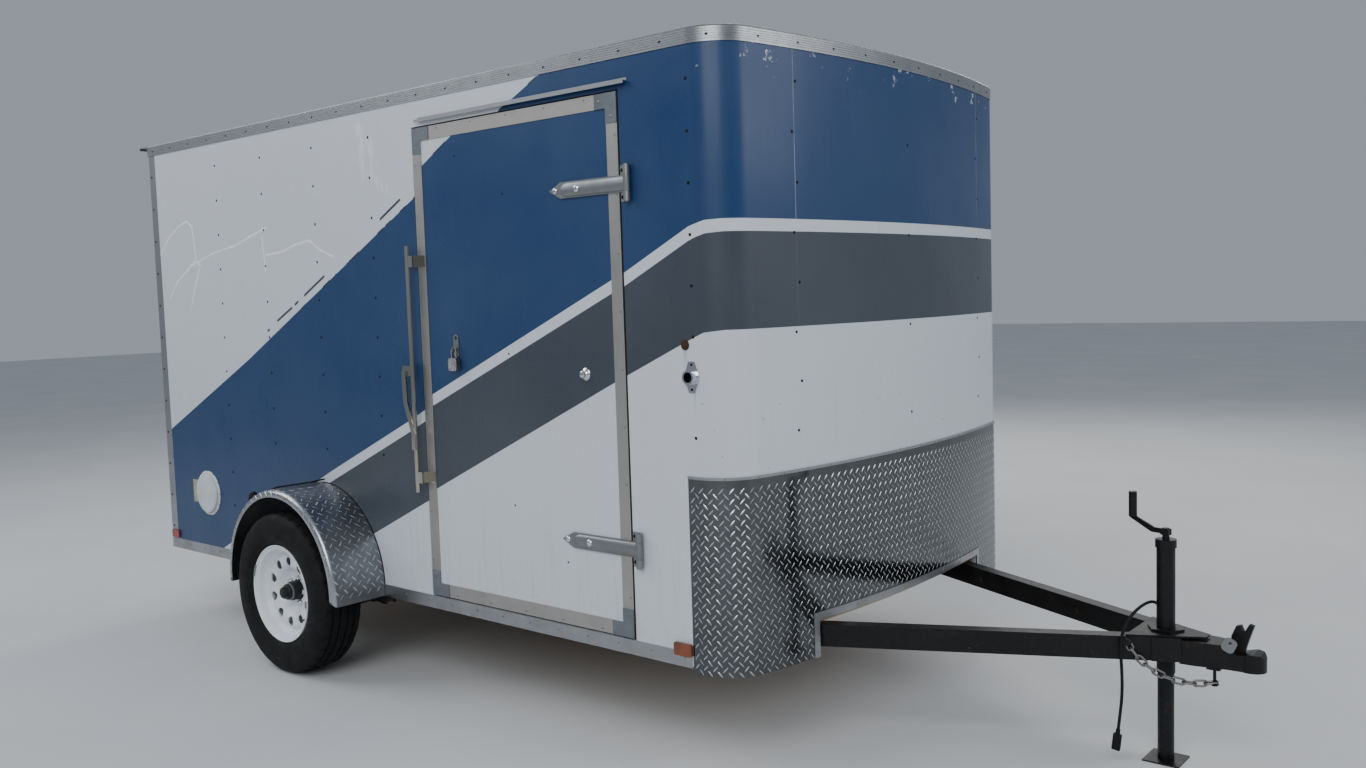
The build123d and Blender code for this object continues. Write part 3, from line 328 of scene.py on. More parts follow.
def stripe_paint(name, lines, places, door=False):
    """Paint of the sides: the bands, with white above the blue on a slant, and their wear."""
    mat = Shader(name, WHITE, 0.32)
    slant = mat.polyline(lines["white"])
    colour, _, _ = bands(mat, lines)
    on_side = mat.past(3.30, 3.29)
    colour = weather(mat, mat.mix(mat.times(mat.above(slant), on_side), colour, WHITE))
    if not door:
        colour = mat.mix(scratches(mat), colour, (1.0, 1.0, 1.0))
    colour = mat.mix(mat.times(drips(mat, places), 0.45), colour, (0.07, 0.07, 0.07))
    scuff = mat.times(
        mat.span(mat.absolute(mat.minus(mat.z, slant)), 0.0045, 0.002), mat.spots(17, 2, 0.54, 0.56), on_side,
        mat.past(1.2, 1.4))
    if not door:
        rub = mat.times(mat.span(mat.near_lines(RUBS, 0.004), 0.0068, 0.004), mat.on_right())
        scuff = mat.most(scuff, rub)
    colour = mat.mix(mat.times(scuff, 0.95), colour, (0.02, 0.02, 0.025))
    stain = mat.times(
        mat.past(0.247, 0.251), mat.past(0.3, 0.296),
        mat.span(mat.z, 0.596, 0.6), mat.span(mat.z, 0.712, 0.708), mat.on_right(),
        mat.spots(60, 3, 0.3, 0.6, 0.6, 1.0))
    colour = mat.mix(mat.times(stain, 0.85), colour, (0.50, 0.47, 0.26))
    if door:
        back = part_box("side_door_panel")[1].y
        inside = mat.span(mat.y, back - 0.003, back - 0.002)
        lining = mat.mix(mat.spots(26, 5, 0.5, 0.8, 0.0, 0.2), WHITE, (0.30, 0.30, 0.29))
    else:
        inside = mat.times(mat.span(mat.absolute(mat.y), HALF - 0.03, HALF - 0.028, 1.0, 0.0),
                           mat.past(CORNER_X, CORNER_X - 0.01))
        lining = plywood_colour(mat)
    mat.look(mat.mix(inside, colour, lining), mat.spots(3.1, 5, 0.3, 0.7, 0.22, 0.42))
    sheet_gloss(mat)
    mat.bump(mat.noise(420, 1), 0.03, 0.0004)


def front_paint():
    """Paint of the bowed front: the bands, chips, seams and tar, and plywood inside."""
    mat = Shader("front_paint", WHITE, 0.38)
    pin_width = mat.span(mat.x, REAR_X + 3.5, REAR_X + 3.64, PIN_WIDTH, 0.04)
    colour, in_grey, in_blue = bands(mat, WALL_LINES, pin_width)
    colour = weather(mat, colour)
    chips = mat.times(mat.spots(11, 5, 0.62, 0.65, roughness=0.75), mat.span(mat.z, 2.22, 2.3))
    colour = mat.mix(chips, colour, (0.50, 0.50, 0.50))
    off_seam = mat.absolute(mat.minus(mat.absolute(mat.y), SEAM_Y))
    seam = mat.times(mat.span(off_seam, 0.0014, 0.0007), mat.spots(9, 3, 0.35, 0.6, 0.25, 0.8),
                     mat.span(mat.minus(in_grey, in_blue), 0.0, 1.0, 0.7, 0.08))
    colour = mat.mix(seam, colour, (0.55, 0.58, 0.62))
    tar = mat.times(mat.spots(55, 2, 0.74, 0.76), mat.span(mat.z, 1.5, 1.0))
    colour = mat.mix(mat.times(tar, 0.7), colour, (0.06, 0.05, 0.05))
    y = mat.absolute(mat.y)
    nose_reach = mat.vector("LENGTH", mat.flat(mat.minus(mat.x, REAR_X + NOSE_X), y), out="Value")
    past_corner = mat.most(mat.minus(mat.x, REAR_X + CORNER_X), 0.0)
    corner_reach = mat.vector("LENGTH", mat.flat(past_corner, mat.minus(y, CORNER_Y)), out="Value")
    bend_y = CORNER_Y + CORNER_RADIUS * sin(CORNER_TURN)
    in_corner = mat.span(y, bend_y, bend_y + 0.001)
    nose_inside = mat.times(mat.span(nose_reach, NOSE_RADIUS - 0.02, NOSE_RADIUS - 0.021),
                            mat.minus(1.0, in_corner))
    corner_inside = mat.times(mat.span(corner_reach, CORNER_RADIUS - 0.02, CORNER_RADIUS - 0.021), in_corner)
    inside = mat.plus(nose_inside, corner_inside)
    mat.look(mat.mix(inside, colour, plywood_colour(mat, True)), mat.spots(2.3, 5, 0.3, 0.7, 0.3, 0.46))
    mat.bump(mat.noise(1.6, 2, (1, 1, 0.5)), 0.3, 0.01)
    mat.lacquer(0.35, 0.15, 0.16)


def plain_white_paint():
    """Rear doors: white outside, plywood on the inside face."""
    mat = Shader("white_paint", WHITE, 0.32)
    inside = mat.past(0.034, 0.036)
    mat.look(mat.mix(inside, weather(mat, WHITE), plywood_colour(mat)),
             mat.spots(3.1, 5, 0.3, 0.7, 0.24, 0.44))
    sheet_gloss(mat)


def metal(name, base, roughness, spread=0.1, grime=(0.10, 0.09, 0.08), grime_share=0.3, brush=None,
          bump=0.04, patches=0.18):
    """Bare metal with faint oxide patches, grime and, if given, a brushed direction."""
    mat = Shader(name, base, roughness, 1.0)
    patch = mat.noise(13, 6, roughness=0.62)
    fine = mat.noise(160, 4, roughness=0.7)
    dull = tuple(channel * (1 - patches) for channel in base)
    colour = mat.mix(mat.span(patch, 0.38, 0.7), base, dull)
    mat.look(mat.mix(mat.span(fine, 0.62, 0.82, 0.0, grime_share), colour, grime),
             mat.span(patch, 0.3, 0.7, roughness - spread / 2, roughness + spread))
    if brush:
        mat.bump(mat.noise(260, 2, brush), 0.1, 0.0006)
    mat.bump(fine, bump, 0.0008)


def laminated_steel():
    """Padlock body of pressed plates."""
    mat = Shader("laminated_steel", (0.34, 0.35, 0.36), 0.3, 1.0)
    plates = mat.ribs(130)
    colour = mat.mix(mat.span(plates, 0.2, 0.5, 0.8, 0.0), (0.36, 0.37, 0.38), (0.05, 0.05, 0.05))
    mat.set("Base Color", mat.mix(mat.spots(60, 4, 0.5, 0.75, 0.0, 0.6), colour, (0.14, 0.09, 0.06)))
    mat.bump(plates, 0.6, 0.002)
    mat.bump(mat.noise(190, 3), 0.1, 0.0006)


def worn_paint(name, base, roughness, under=DUST, wear=0.66, rust=0.0, dust_share=0.14, haze=0.25,
               specular=0.5):
    """Painted steel, rubbed through here and there, with dust and a little rust."""
    mat = Shader(name, base, roughness)
    patch = mat.noise(17, 7, roughness=0.72)
    colour = mat.mix(mat.spots(4, 4, 0.35, 0.7, 0.0, haze), base, (0.04, 0.04, 0.04))
    colour = mat.mix(mat.span(patch, wear, wear + 0.05, 0.0, 0.8), colour, under)
    rusty = mat.times(mat.spots(31, 6, 0.6, 0.7, roughness=0.8), rust)
    colour = mat.mix(rusty, colour, (0.16, 0.065, 0.028))
    dust = mat.spots(70, 5, 0.48, 0.8, 0.0, dust_share, roughness=0.7)
    mat.look(mat.mix(dust, colour, DUST), mat.span(patch, 0.35, 0.7, roughness - 0.08, roughness + 0.2))
    mat.bump(patch, 0.1, 0.0015)
    mat.bump(mat.noise(240, 3), 0.06, 0.0006)
    mat.set("Specular IOR Level", specular)


def plastic(name, base, roughness):
    mat = Shader(name, base, roughness)
    faded = tuple(channel * 1.25 + 0.02 for channel in base)
    colour = mat.mix(mat.spots(12, 5, 0.35, 0.7, roughness=0.65), base, faded)
    mat.look(mat.mix(mat.spots(90, 4, 0.62, 0.8, 0.0, 0.4), colour, DUST),
             mat.spots(30, 4, 0.3, 0.7, roughness - 0.05, roughness + 0.12))
    mat.bump(mat.noise(500, 2), 0.12, 0.0004)


def lens(name, base):
    """Ribbed lamp lens over a coloured body."""
    mat = Shader(name, base, 0.12)
    deep = tuple(channel * 0.45 for channel in base)
    mat.set("Base Color", mat.mix(mat.spots(25, 4, 0.35, 0.7), base, deep))
    mat.bump(mat.ribs(95), 0.25, 0.001)
    mat.lacquer(0.5, 0.5, 0.05)


def rubber(name, base, dust_share):
    mat = Shader(name, base, 0.72)
    dust = mat.spots(30, 6, 0.45, 0.78, 0.0, dust_share, roughness=0.7)
    mat.look(mat.mix(dust, base, (0.09, 0.082, 0.07)), mat.spots(18, 4, 0.3, 0.7, 0.58, 0.82))
    mat.bump(mat.noise(330, 3), 0.15, 0.0005)
    mat.set("Specular IOR Level", 0.22)


stripe_paint("wall_paint", WALL_LINES, [(3.539, 1.31, 0.16), (3.504, 1.38, 0.1)])
stripe_paint("door_paint", DOOR_LINES, [(3.058, 1.335, 0.22), (2.366, 1.215, 0.1)], door=True)
front_paint()
plain_white_paint()
laminated_steel()
metal("aluminium", (0.42, 0.43, 0.44), 0.36, brush=(0.02, 1, 1))
metal("roof_trim", (0.38, 0.39, 0.40), 0.34, brush=(0.02, 0.02, 1), patches=0.08)
metal("door_aluminium", (0.50, 0.475, 0.445), 0.4, brush=(1, 1, 0.02), patches=0.08)
metal("roof_aluminium", (0.50, 0.51, 0.52), 0.34, grime_share=0.5)
# The stone guard's polished metal is darkened to stand for the dark surroundings it mirrors: a painted dark
# reflection
metal("painted_reflection_plate", (0.125, 0.132, 0.135), 0.1, spread=0.05, bump=0.02)
metal("fender_plate", (0.27, 0.285, 0.305), 0.36, grime_share=0.4, bump=0.03, patches=0.25)
# A lighter copy of the plate's metal for the raised lozenges: painted highlights on them
metal("painted_highlight_plate", (0.60, 0.61, 0.62), 0.24, spread=0.08, bump=0.03)
# A lighter, glossier copy of the fender's metal for its rolled edge: a painted highlight
metal("fender_lip", (0.44, 0.45, 0.47), 0.24, grime_share=0.4, bump=0.03)
metal("zinc", (0.30, 0.31, 0.315), 0.42, grime_share=0.35, patches=0.14)
metal("lock_zinc", (0.46, 0.44, 0.39), 0.12, spread=0.03, grime_share=0.05, bump=0.0, patches=0.04)
metal("zinc_rust", (0.26, 0.25, 0.24), 0.42, grime=(0.13, 0.06, 0.03), grime_share=0.8, bump=0.2)
metal("chrome", (0.72, 0.74, 0.76), 0.1, spread=0.06, grime_share=0.2, patches=0.1)
metal("screw_steel", (0.30, 0.29, 0.28), 0.36, grime_share=0.6)
worn_paint("black_steel", (0.0045, 0.0045, 0.005), 0.34, rust=0.35, dust_share=0.06, haze=0.06, specular=0.28)
worn_paint("under_steel", (0.010, 0.010, 0.011), 0.55, rust=0.9, dust_share=0.3)
worn_paint("hub_black", (0.006, 0.006, 0.007), 0.36, wear=0.64, rust=0.3, dust_share=0.08, haze=0.1,
           specular=0.35)
worn_paint("rim_white", (0.80, 0.83, 0.86), 0.28, under=(0.34, 0.33, 0.32), wear=0.78, rust=0.12,
           dust_share=0.08, haze=0.04)
rubber("tyre_rubber", (0.0065, 0.0065, 0.007), 0.1)
rubber("black_rubber", (0.008, 0.008, 0.009), 0.06)
rubber("brown_rubber", (0.060, 0.022, 0.014), 0.2)
rubber("black_plastic", (0.006, 0.006, 0.007), 0.06)
rubber("socket_dark", (0.003, 0.003, 0.003), 0.0)
rubber("dark_screw", (0.005, 0.005, 0.006), 0.04)
plastic("grey_plastic", (0.105, 0.120, 0.135), 0.5)
plastic("vent_plastic", (0.50, 0.53, 0.56), 0.5)
plastic("vent_ring", (0.56, 0.57, 0.56), 0.42)
lens("dark_amber", (0.10, 0.028, 0.008))
lens("amber", (0.22, 0.050, 0.010))
lens("red", (0.30, 0.010, 0.010))
wood = Shader("deck_wood", (0.50, 0.36, 0.20), 0.65)
wood.set("Base Color", plywood_colour(wood))
wood.bump(wood.noise(60, 4, (0.3, 1, 1)), 0.2, 0.001)

NODE_MATERIALS = {
    "wall_paint": "wall_right wall_left",
    "front_paint": "wall_front",
    "door_paint": "side_door_panel",
    "white_paint": "rear_door_right rear_door_left",
    "aluminium": "roof_trim rear_drip bottom_trim guard_trim side_door_drip rear_frame",
    # The stone guard takes the darkened metal, with its painted dark reflection
    "painted_reflection_plate": "stone_guard",
    "lock_zinc": "side_lock_bar",
    "door_aluminium": "side_door_frame",
    "roof_aluminium": "roof",
    "fender_plate": "fender_right fender_left",
    "zinc": "side_door_straps side_hinge_butts side_door_hasp latch_plate rear_hardware_right"
            " rear_hardware_left rear_hinge_butts safety_chain",
    "chrome": "holdback_plunger holdback_socket",
    "laminated_steel": "padlock",
    "black_steel": "tongue_rails tongue_plate coupler coupler_latch jack_tube jack_crank jack_leg",
    "under_steel": "chassis_rails cross_members axle leaf_springs",
    "hub_black": "hub_right hub_left",
    "rim_white": "rim_right rim_left",
    "tyre_rubber": "tyre_right tyre_left",
    "black_rubber": "wiring_lead lead_plug lead_grommet",
    "grey_plastic": "side_door_corners",
    "vent_plastic": "side_vents",
    "black_plastic": "fender_lamps",
    "amber": "amber_markers",
    "red": "red_markers tail_lamps",
    "deck_wood": "floor_deck",
}
for material, names in NODE_MATERIALS.items():
    for name in names.split():
        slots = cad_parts[name].data.materials
        slots.clear()
        slots.append(MATERIALS[material])


# Mesh helpers
def rework(mesh, *steps):
    """Take a mesh through steps that work on a bmesh."""
    work = bmesh.new()
    work.from_mesh(mesh)
    for step in steps:
        step(work)
    work.to_mesh(mesh)
    work.free()


def face_outward(work):
    bmesh.ops.recalc_face_normals(work, faces=work.faces)


def merge_doubles(work):
    bmesh.ops.remove_doubles(work, verts=work.verts, dist=0.00001)


def shade(work):
    """Smooth faces with hard edges at the creases."""
    for face in work.faces:
        face.smooth = True
    for edge in work.edges:
        edge.smooth = len(edge.link_faces) != 2 or edge.calc_face_angle(0) <= CREASE


def polar(reach, turn, along=0.0):
    return Vector((reach * cos(turn), reach * sin(turn), along))


def spread(start, end, count):
    """Evenly spaced values from start to end."""
    return [start + (end - start) * index / (count - 1) for index in range(count)]


def circle(count):
    """Evenly spaced angles of a full turn."""
    return [2 * pi * index / count for index in range(count)]


class Build:
    """Collects points and faces of many small forms for one joined mesh."""

    def __init__(self):
        self.points = []
        self.faces = []

    def add(self, points, faces):
        start = len(self.points)
        self.points += [tuple(point) for point in points]
        self.faces += [tuple(start + index for index in face) for face in faces]

    def rings(self, rings, caps=0, closed=True):
        """Skin between rings of points. Caps: 0 for none, 1 for the last ring, 2 for both ends."""
        count = len(rings[0])
        faces = []
        for row in range(0, (len(rings) - 1) * count, count):
            for index in range(count if closed else count - 1):
                after = (index + 1) % count
                faces.append((row + index, row + after, row + count + after, row + count + index))
        if caps > 1:
            faces.append(tuple(reversed(range(count))))
        if caps:
            faces.append(tuple(range((len(rings) - 1) * count, len(rings) * count)))
        self.add([point for ring in rings for point in ring], faces)
        return self

    def lathe(self, place, profile, steps, caps=0):
        """Turn (radius, along z) points in millimetres about the z axis of a placement."""
        return self.rings([
            [place @ polar(radius / 1000, turn, along / 1000) for turn in circle(steps)]
            for radius, along in profile
        ], caps)

    def tube(self, path, radius, steps, closed=False):
        """A round bar along points, turned without twist."""
        rings = []
        side = None
        for index, point in enumerate(path):
            before = path[index - 1] if closed or index > 0 else point
            after = path[(index + 1) % len(path)] if closed or index < len(path) - 1 else point
            ahead = (after - before).normalized()
            if side is None:
                side = ahead.orthogonal().normalized()
            side = (side - ahead * side.dot(ahead)).normalized()
            other = ahead.cross(side)
            rings.append([point + radius * (cos(turn) * side + sin(turn) * other) for turn in circle(steps)])
        if closed:
            rings.append(rings[0])
        self.rings(rings, 0 if closed else 2)

    def mesh(self, name):
        mesh = bpy.data.meshes.new(name)
        mesh.from_pydata(self.points, [], self.faces)
        return mesh

    def finish(self, name, material, body, slot, smooth=True, replaces=()):
        """A mesh object that rides on a body and may stand for CAD nodes."""
        mesh = self.mesh(name)
        rework(mesh, face_outward, *([shade] if smooth else []))
        mesh.materials.append(MATERIALS[material])
        thing = new_object(name, mesh)
        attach(thing, body)
        if replaces:
            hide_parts(*replaces)
        return thing


def facing(point, normal, up=None):
    """A placement at point whose z axis is the normal."""
    normal = Vector(normal).normalized()
    up = Vector(up) if up else (Vector((0, 0, 1)) if abs(normal.z) < 0.9 else Vector((1, 0, 0)))
    side = up.cross(normal).normalized()
    place = Matrix((side, normal.cross(side), normal)).transposed().to_4x4()
    place.translation = Vector(point)
    return place


def pan_head(build, point, normal, radius, height):
    """A low domed screw or rivet head, sizes in millimetres."""
    build.lathe(facing(point, normal), [(radius, -0.4), (radius, height * 0.35),
                                        (radius * 0.72, height * 0.85), (radius * 0.3, height)], 10, 1)


def hex_head(build, point, normal, radius, height):
    """A bolt head on its washer, sizes in millimetres."""
    place = facing(point, normal)
    build.lathe(place, [(radius * 1.35, -0.4), (radius * 1.35, 1.4), (radius * 1.02, 1.5)], 20)
    build.lathe(place, [(radius, 1.2), (radius, height * 0.85), (radius * 0.86, height)], 6, 1)


def on_outline(along, out=0.0):
    """Point and outward normal on the box's outline, along metres from its rear right corner."""
    mirrored = along > AROUND / 2
    run = AROUND - along if mirrored else along
    if run <= CORNER_X:
        x, y, turn = run, -HALF - out, -pi / 2
    elif run <= CORNER_X + CORNER_LENGTH:
        turn = -pi / 2 + (run - CORNER_X) / CORNER_RADIUS
        x = CORNER_X + (CORNER_RADIUS + out) * cos(turn)
        y = -CORNER_Y + (CORNER_RADIUS + out) * sin(turn)
    else:
        turn = -CORNER_TURN + (run - CORNER_X - CORNER_LENGTH) / NOSE_RADIUS
        x = NOSE_X + (NOSE_RADIUS + out) * cos(turn)
        y = (NOSE_RADIUS + out) * sin(turn)
    sign = -1 if mirrored else 1
    return Vector((REAR_X + x, sign * y, 0)), Vector((cos(turn), sign * sin(turn), 0))


def side_along(side, x):
    """Place along the outline of a point on one side, x from the rear face."""
    return x if side < 0 else AROUND - x


def front_along(y):
    """Place along the outline of a point on the bowed front."""
    return AROUND / 2 + NOSE_RADIUS * asin(y / NOSE_RADIUS)


def outline_screw(build, along, z, radius, height, out=0.0):
    point, normal = on_outline(along, out)
    pan_head(build, (point.x, point.y, z), normal, radius, height)


def sweep_outline(profile, start, end):
    """A closed profile of (distance out, z) points swept along the box's outline."""
    # Stations lie far apart on the straights and close in the corners
    stops = {start, end}
    bend_end = CORNER_X + CORNER_LENGTH
    for low, high, count in ((0, CORNER_X, 11), (CORNER_X, bend_end, 19), (bend_end, AROUND / 2, 25)):
        for run in spread(low, high, count):
            stops |= {run, AROUND - run}
    stops = sorted(stop for stop in stops if start <= stop <= end)
    return Build().rings([[(*on_outline(stop, out)[0].xy, z) for out, z in profile] for stop in stops], 2)


# Wiring lead
lead_route = [
    (2.196, 0.062, 0.445), (2.196, 0.062, 0.474), (2.195, 0.045, 0.497), (2.19, 0.012, 0.514),
    (2.181, -0.034, 0.516), (2.167, -0.082, 0.502), (2.153, -0.126, 0.472), (2.145, -0.151, 0.43),
    (2.144, -0.155, 0.374), (2.148, -0.154, 0.306), (2.147, -0.151, 0.242), (2.14, -0.148, 0.18),
    (2.132, -0.145, 0.122),
]
lead_curve = bpy.data.curves.new("lead", "CURVE")
lead_curve.dimensions = "3D"
lead_spline = lead_curve.splines.new("NURBS")
lead_spline.points.add(len(lead_route) - 1)
for knot, place in zip(lead_spline.points, lead_route):
    knot.co = (*place, 1)
lead_spline.order_u = 3
lead_spline.use_endpoint_u = True
lead_spline.resolution_u = 12
lead_curve.bevel_depth = 0.005
lead_curve.bevel_resolution = 5
lead_curve.materials.append(MATERIALS["black_rubber"])
lead = new_object("lead", lead_curve)
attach(lead, "root")
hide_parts("wiring_lead")


# Roof, walls and edge trim
def roof_trim():
    """Ribbed extrusion round the roof with its screws."""
    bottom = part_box("roof_trim")[0].z
    face, ribs = 0.0033, 6
    groove = face - 0.0014
    low = bottom + 0.001
    pitch = (ROOF_TOP - 0.006 - low) / ribs
    profile = [(0.0004, bottom), (face, bottom)]
    for rib in range(ribs):
        z = low + rib * pitch
        profile += [(face, z + pitch * 0.1), (face, z + pitch * 0.62), (groove, z + pitch * 0.72),
                    (groove, z + pitch * 0.98)]
    profile += [(face, ROOF_TOP - 0.005), (face - 0.003, ROOF_TOP - 0.001), (face - 0.006, ROOF_TOP),
                (-0.024, ROOF_TOP), (-0.024, ROOF_TOP - 0.0027), (-0.002, ROOF_TOP - 0.0027)]
    sweep_outline(profile, 0.0, AROUND).finish(
        "roof_trim_ribs", "roof_trim", "root", "trim_aluminium", replaces=["roof_trim"])
    screws = Build()
    for along in spread(0.05, AROUND - 0.05, 52):
        outline_screw(screws, along, ROOF_TOP - 0.03, 5.6, 2.4, face - 0.002)
    screws.finish("roof_trim_screws", "dark_screw", "root", "galvanised")


def fasteners():
    """Screws of the walls, front, side door, bottom trim and stone guard."""
    rivets = Build()
    pitch = 0.1615
    for side, _ in SIDES:
        for x in (0.02, 0.643, 1.04, 1.454, 1.862, 2.27, 2.676, 3.083, 3.537):
            for level in range(12):
                z = 2.228 - level * pitch
                on_door = side < 0 and 2.12 < x < 3.28 and z < 2.27
                on_fender = abs(x - AXLE_X) < 0.47 and z < 0.82
                if not on_door and not on_fender:
                    outline_screw(rivets, side_along(side, x), z, 5.6, 1.6)
    # The front's seams are screwed on their two sides by turns, its middle at every other level
    for level in range(8):
        z = 1.1 + level * pitch
        for y in (-SEAM_Y, SEAM_Y):
            outline_screw(rivets, front_along(y) + (0.01 if level % 2 else -0.01), z, 5.2, 1.6)
        if level % 2 == 0:
            outline_screw(rivets, front_along(0), z, 5.2, 1.6)
    rivets.finish("wall_screws", "dark_screw", "root", "box_paint")
    door_rivets = Build()
    door_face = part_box("side_door_panel")[0].y
    for x, z in ((2.66, 1.94), (2.66, 1.36), (2.66, 0.8), (2.4, 2.1), (2.93, 0.62)):
        pan_head(door_rivets, (REAR_X + x, door_face, z), (0, -1, 0), 3.8, 1.4)
    door_rivets.finish("door_panel_screws", "dark_screw", "side_door", "box_paint")
    screws = Build()
    trim_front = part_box("bottom_trim")[1].x - REAR_X
    guard_low, guard_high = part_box("stone_guard")
    guard_start = guard_low.x - REAR_X
    rail_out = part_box("guard_trim")[1].y - HALF
    for side, _ in SIDES:
        for x in spread(0.03, trim_front - 0.03, 24):
            if abs(x - AXLE_X) > 0.42:
                outline_screw(screws, side_along(side, x), BODY_BOTTOM + 0.03, 4.4, 2.2, 0.0025)
        for z in spread(guard_low.z + 0.05, guard_low.z + 0.55, 5):
            x = guard_start + 0.012
            outline_screw(screws, side_along(side, x), z, 4.0, 1.8, 0.0023)
        for z in spread(guard_low.z + 0.018, guard_low.z + 0.108, 3):
            outline_screw(screws, front_along(side * (NOTCH_HALF + 0.013)), z, 4.0, 1.8, rail_out)
    for along in spread(guard_start + 0.02, AROUND - guard_start - 0.02, 20):
        outline_screw(screws, along, guard_high.z - 0.0005, 3.6, 1.6, rail_out)
    for y in spread(-0.53, 0.53, 8):
        outline_screw(screws, front_along(y), NOTCH_TOP + 0.013, 4.0, 1.8, rail_out)
    screws.finish("trim_screws", "screw_steel", "root", "galvanised")


def floor_cove():
    """Wooden strip where the floor meets the bowed front wall inside."""
    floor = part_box("floor_deck")[1].z
    profile = [(-0.0395, floor + 0.0002), (-0.0395, floor + 0.028), (-0.044, floor + 0.026),
               (-0.05, floor + 0.018), (-0.0535, floor + 0.0002)]
    start = CORNER_X + CORNER_LENGTH * 0.2
    sweep_outline(profile, start, AROUND - start).finish("floor_cove", "deck_wood", "root", "deck_wood")


# Tread plate
def lozenge(build, place, length, width, height):
    """One raised lozenge of tread plate, long along the placement's x axis."""
    half, wide = length / 2, width / 2
    points = [
        (-half, 0, 0), (-half * 0.5, -wide * 0.85, 0), (0, -wide, 0), (half * 0.5, -wide * 0.85, 0),
        (half, 0, 0), (half * 0.5, wide * 0.85, 0), (0, wide, 0), (-half * 0.5, wide * 0.85, 0),
        (-half * 0.55, 0, height * 0.75), (0, 0, height), (half * 0.55, 0, height * 0.75),
    ]
    faces = [(0, 1, 8), (1, 2, 9, 8), (2, 3, 10, 9), (3, 4, 10), (4, 5, 10), (5, 6, 9, 10), (6, 7, 8, 9),
             (7, 0, 8)]
    build.add([place @ Vector(point) for point in points], faces)


def guard_plate():
    """Raised lozenges over the stone guard, in columns that lean to one side and the other by turns."""
    build = Build()
    low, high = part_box("stone_guard")
    start = low.x - REAR_X
    pitch = 0.034
    for column in range(1, int((AROUND - 2 * start) / (pitch / 2))):
        odd = column % 2
        point, normal = on_outline(start + column * pitch / 2, high.y - HALF)
        at_notch = abs(point.y) < NOTCH_HALF + pitch and point.x > REAR_X + CORNER_X
        for row in range(int((high.z - low.z) / pitch) + 1):
            z = low.z + 0.01 + row * pitch + (pitch / 2 if odd else 0)
            if z > high.z - 0.03 or at_notch and z < NOTCH_TOP + pitch:
                continue
            lean = Matrix.Rotation(radians(48 if odd else -48), 4, "Z")
            lozenge(build, facing((point.x, point.y, z), normal) @ lean, 0.027, 0.0052, 0.0011)
    # The lozenges are in the lighter copy of the metal: a painted highlight
    build.finish("guard_lozenges", "painted_highlight_plate", "root", "tread_plate")


def fender(side, label):
    """Smooth rolled fender with its tread plate, in place of the faceted solid."""
    name = "fender_" + label
    low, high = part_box(name)
    outer = max(abs(low.y), abs(high.y))
    inner = min(abs(low.y), abs(high.y))
    centre_x = middle(name).x
    top = (high.x - low.x) / 2
    centre_z = high.z - top
    leg = centre_z - low.z
    thick, roll, lip, corner = 0.0025, 0.019, 0.029, 0.022
    steps = 72

    def section(inset=0.0):
        """The outside as (across, radius), from the wall over the roll to the lip."""
        points = [(inner, top - inset), (outer - roll, top - inset)]
        for step in range(1, 9):
            turn = pi / 2 * step / 8
            bend = roll - inset
            points.append((outer - roll + bend * sin(turn), top - roll + bend * cos(turn)))
        return points + [(outer - inset, top - lip)]

    def arch(points, first=-1, proud=None):
        """Rings of (across, radius) points over the wheel, from first -1 with the straight legs."""
        rings = []
        for index in range(first, steps - first + 1):
            turn = pi * min(max(index, 0), steps) / steps
            drop = -leg if index in (-1, steps + 1) else 0
            ring = []
            for (across, radius), more in zip(points, proud or [0.0] * len(points)):
                # The legs' lower outer corners are rounded off
                near = max(0.0, across - (outer - corner)) if drop else 0.0
                lift = corner - sqrt(max(0.0, corner ** 2 - near ** 2))
                ring.append((centre_x - cos(turn) * (radius + more), side * (across + more),
                             centre_z + sin(turn) * (radius + more) + drop + lift))
            rings.append(ring)
        return rings

    shell = Build()
    shell.rings(arch(section() + section(thick)[::-1]), 2)
    under = top - thick
    shell.rings(arch([(inner, under), (inner, under - 0.024), (inner + 0.003, under - 0.024),
                      (inner + 0.003, under)], 0), 2)
    shell.finish(name + "_shell", "fender_plate", "root", "tread_plate", replaces=[name])
    # A thin skin in the lighter metal over the roll and lip: a painted highlight along the rolled edge
    edge = section()[2:]
    bead = arch(edge, -1, [0.0001] + [0.0004] * (len(edge) - 2) + [0.0001])
    Build().rings(bead, closed=False).finish(name + "_lip", "fender_lip", "root", "tread_plate")

    plate = Build()
    arc = pi * top
    total = arc + 2 * leg
    flat = outer - roll - inner
    pitch = 0.044
    lamp_low, lamp_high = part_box("fender_lamps")
    for column in range(int((flat + pi / 2 * roll) / (pitch / 2)) + 1):
        odd = column % 2
        along = 0.012 + column * pitch / 2
        tip = min(max((along - flat) / roll, 0.0), pi / 2)
        across = outer - roll + roll * sin(tip) if along >= flat else inner + along
        for row in range(int(total / pitch) + 1):
            run = 0.02 + row * pitch + (pitch / 2 if odd else 0)
            if run > total - 0.016 or along > flat and min(run, total - run) < 0.036:
                continue
            turn = min(max((run - leg) / top, 0.0), pi)
            out = Vector((-cos(turn), 0, sin(turn)))
            up = Vector((sin(turn), 0, cos(turn)))
            shift = min(run - leg, 0.0) + max(run - leg - arc, 0.0)
            reach = top - roll + roll * cos(tip)
            point = Vector((centre_x, side * across, centre_z)) + out * reach + up * shift
            by_lamp = out.z > 0.5 and lamp_low.x - 0.012 < point.x < lamp_high.x + 0.012
            if by_lamp and point.x < centre_x + 0.02 and abs(point.y) < min(outer - 0.01, 1.19):
                continue
            normal = out * cos(tip) + Vector((0, side * sin(tip), 0))
            lean = Matrix.Rotation(radians(46 if odd else -46), 4, "Z")
            lozenge(plate, facing(point - normal * 0.0001, normal, up) @ lean, 0.032, 0.0062, 0.0012)
    # The lozenges are in the lighter copy of the metal: a painted highlight
    plate.finish(name + "_lozenges", "painted_highlight_plate", "root", "tread_plate")
    joint = arch([(inner - 0.0002, top - 0.0004), (inner - 0.0002, top + 0.003),
                  (inner + 0.002, top + 0.0022), (inner + 0.003, top - 0.0004)])
    Build().rings(joint, 2).finish(name + "_joint", "black_rubber", "root", "lead_black")


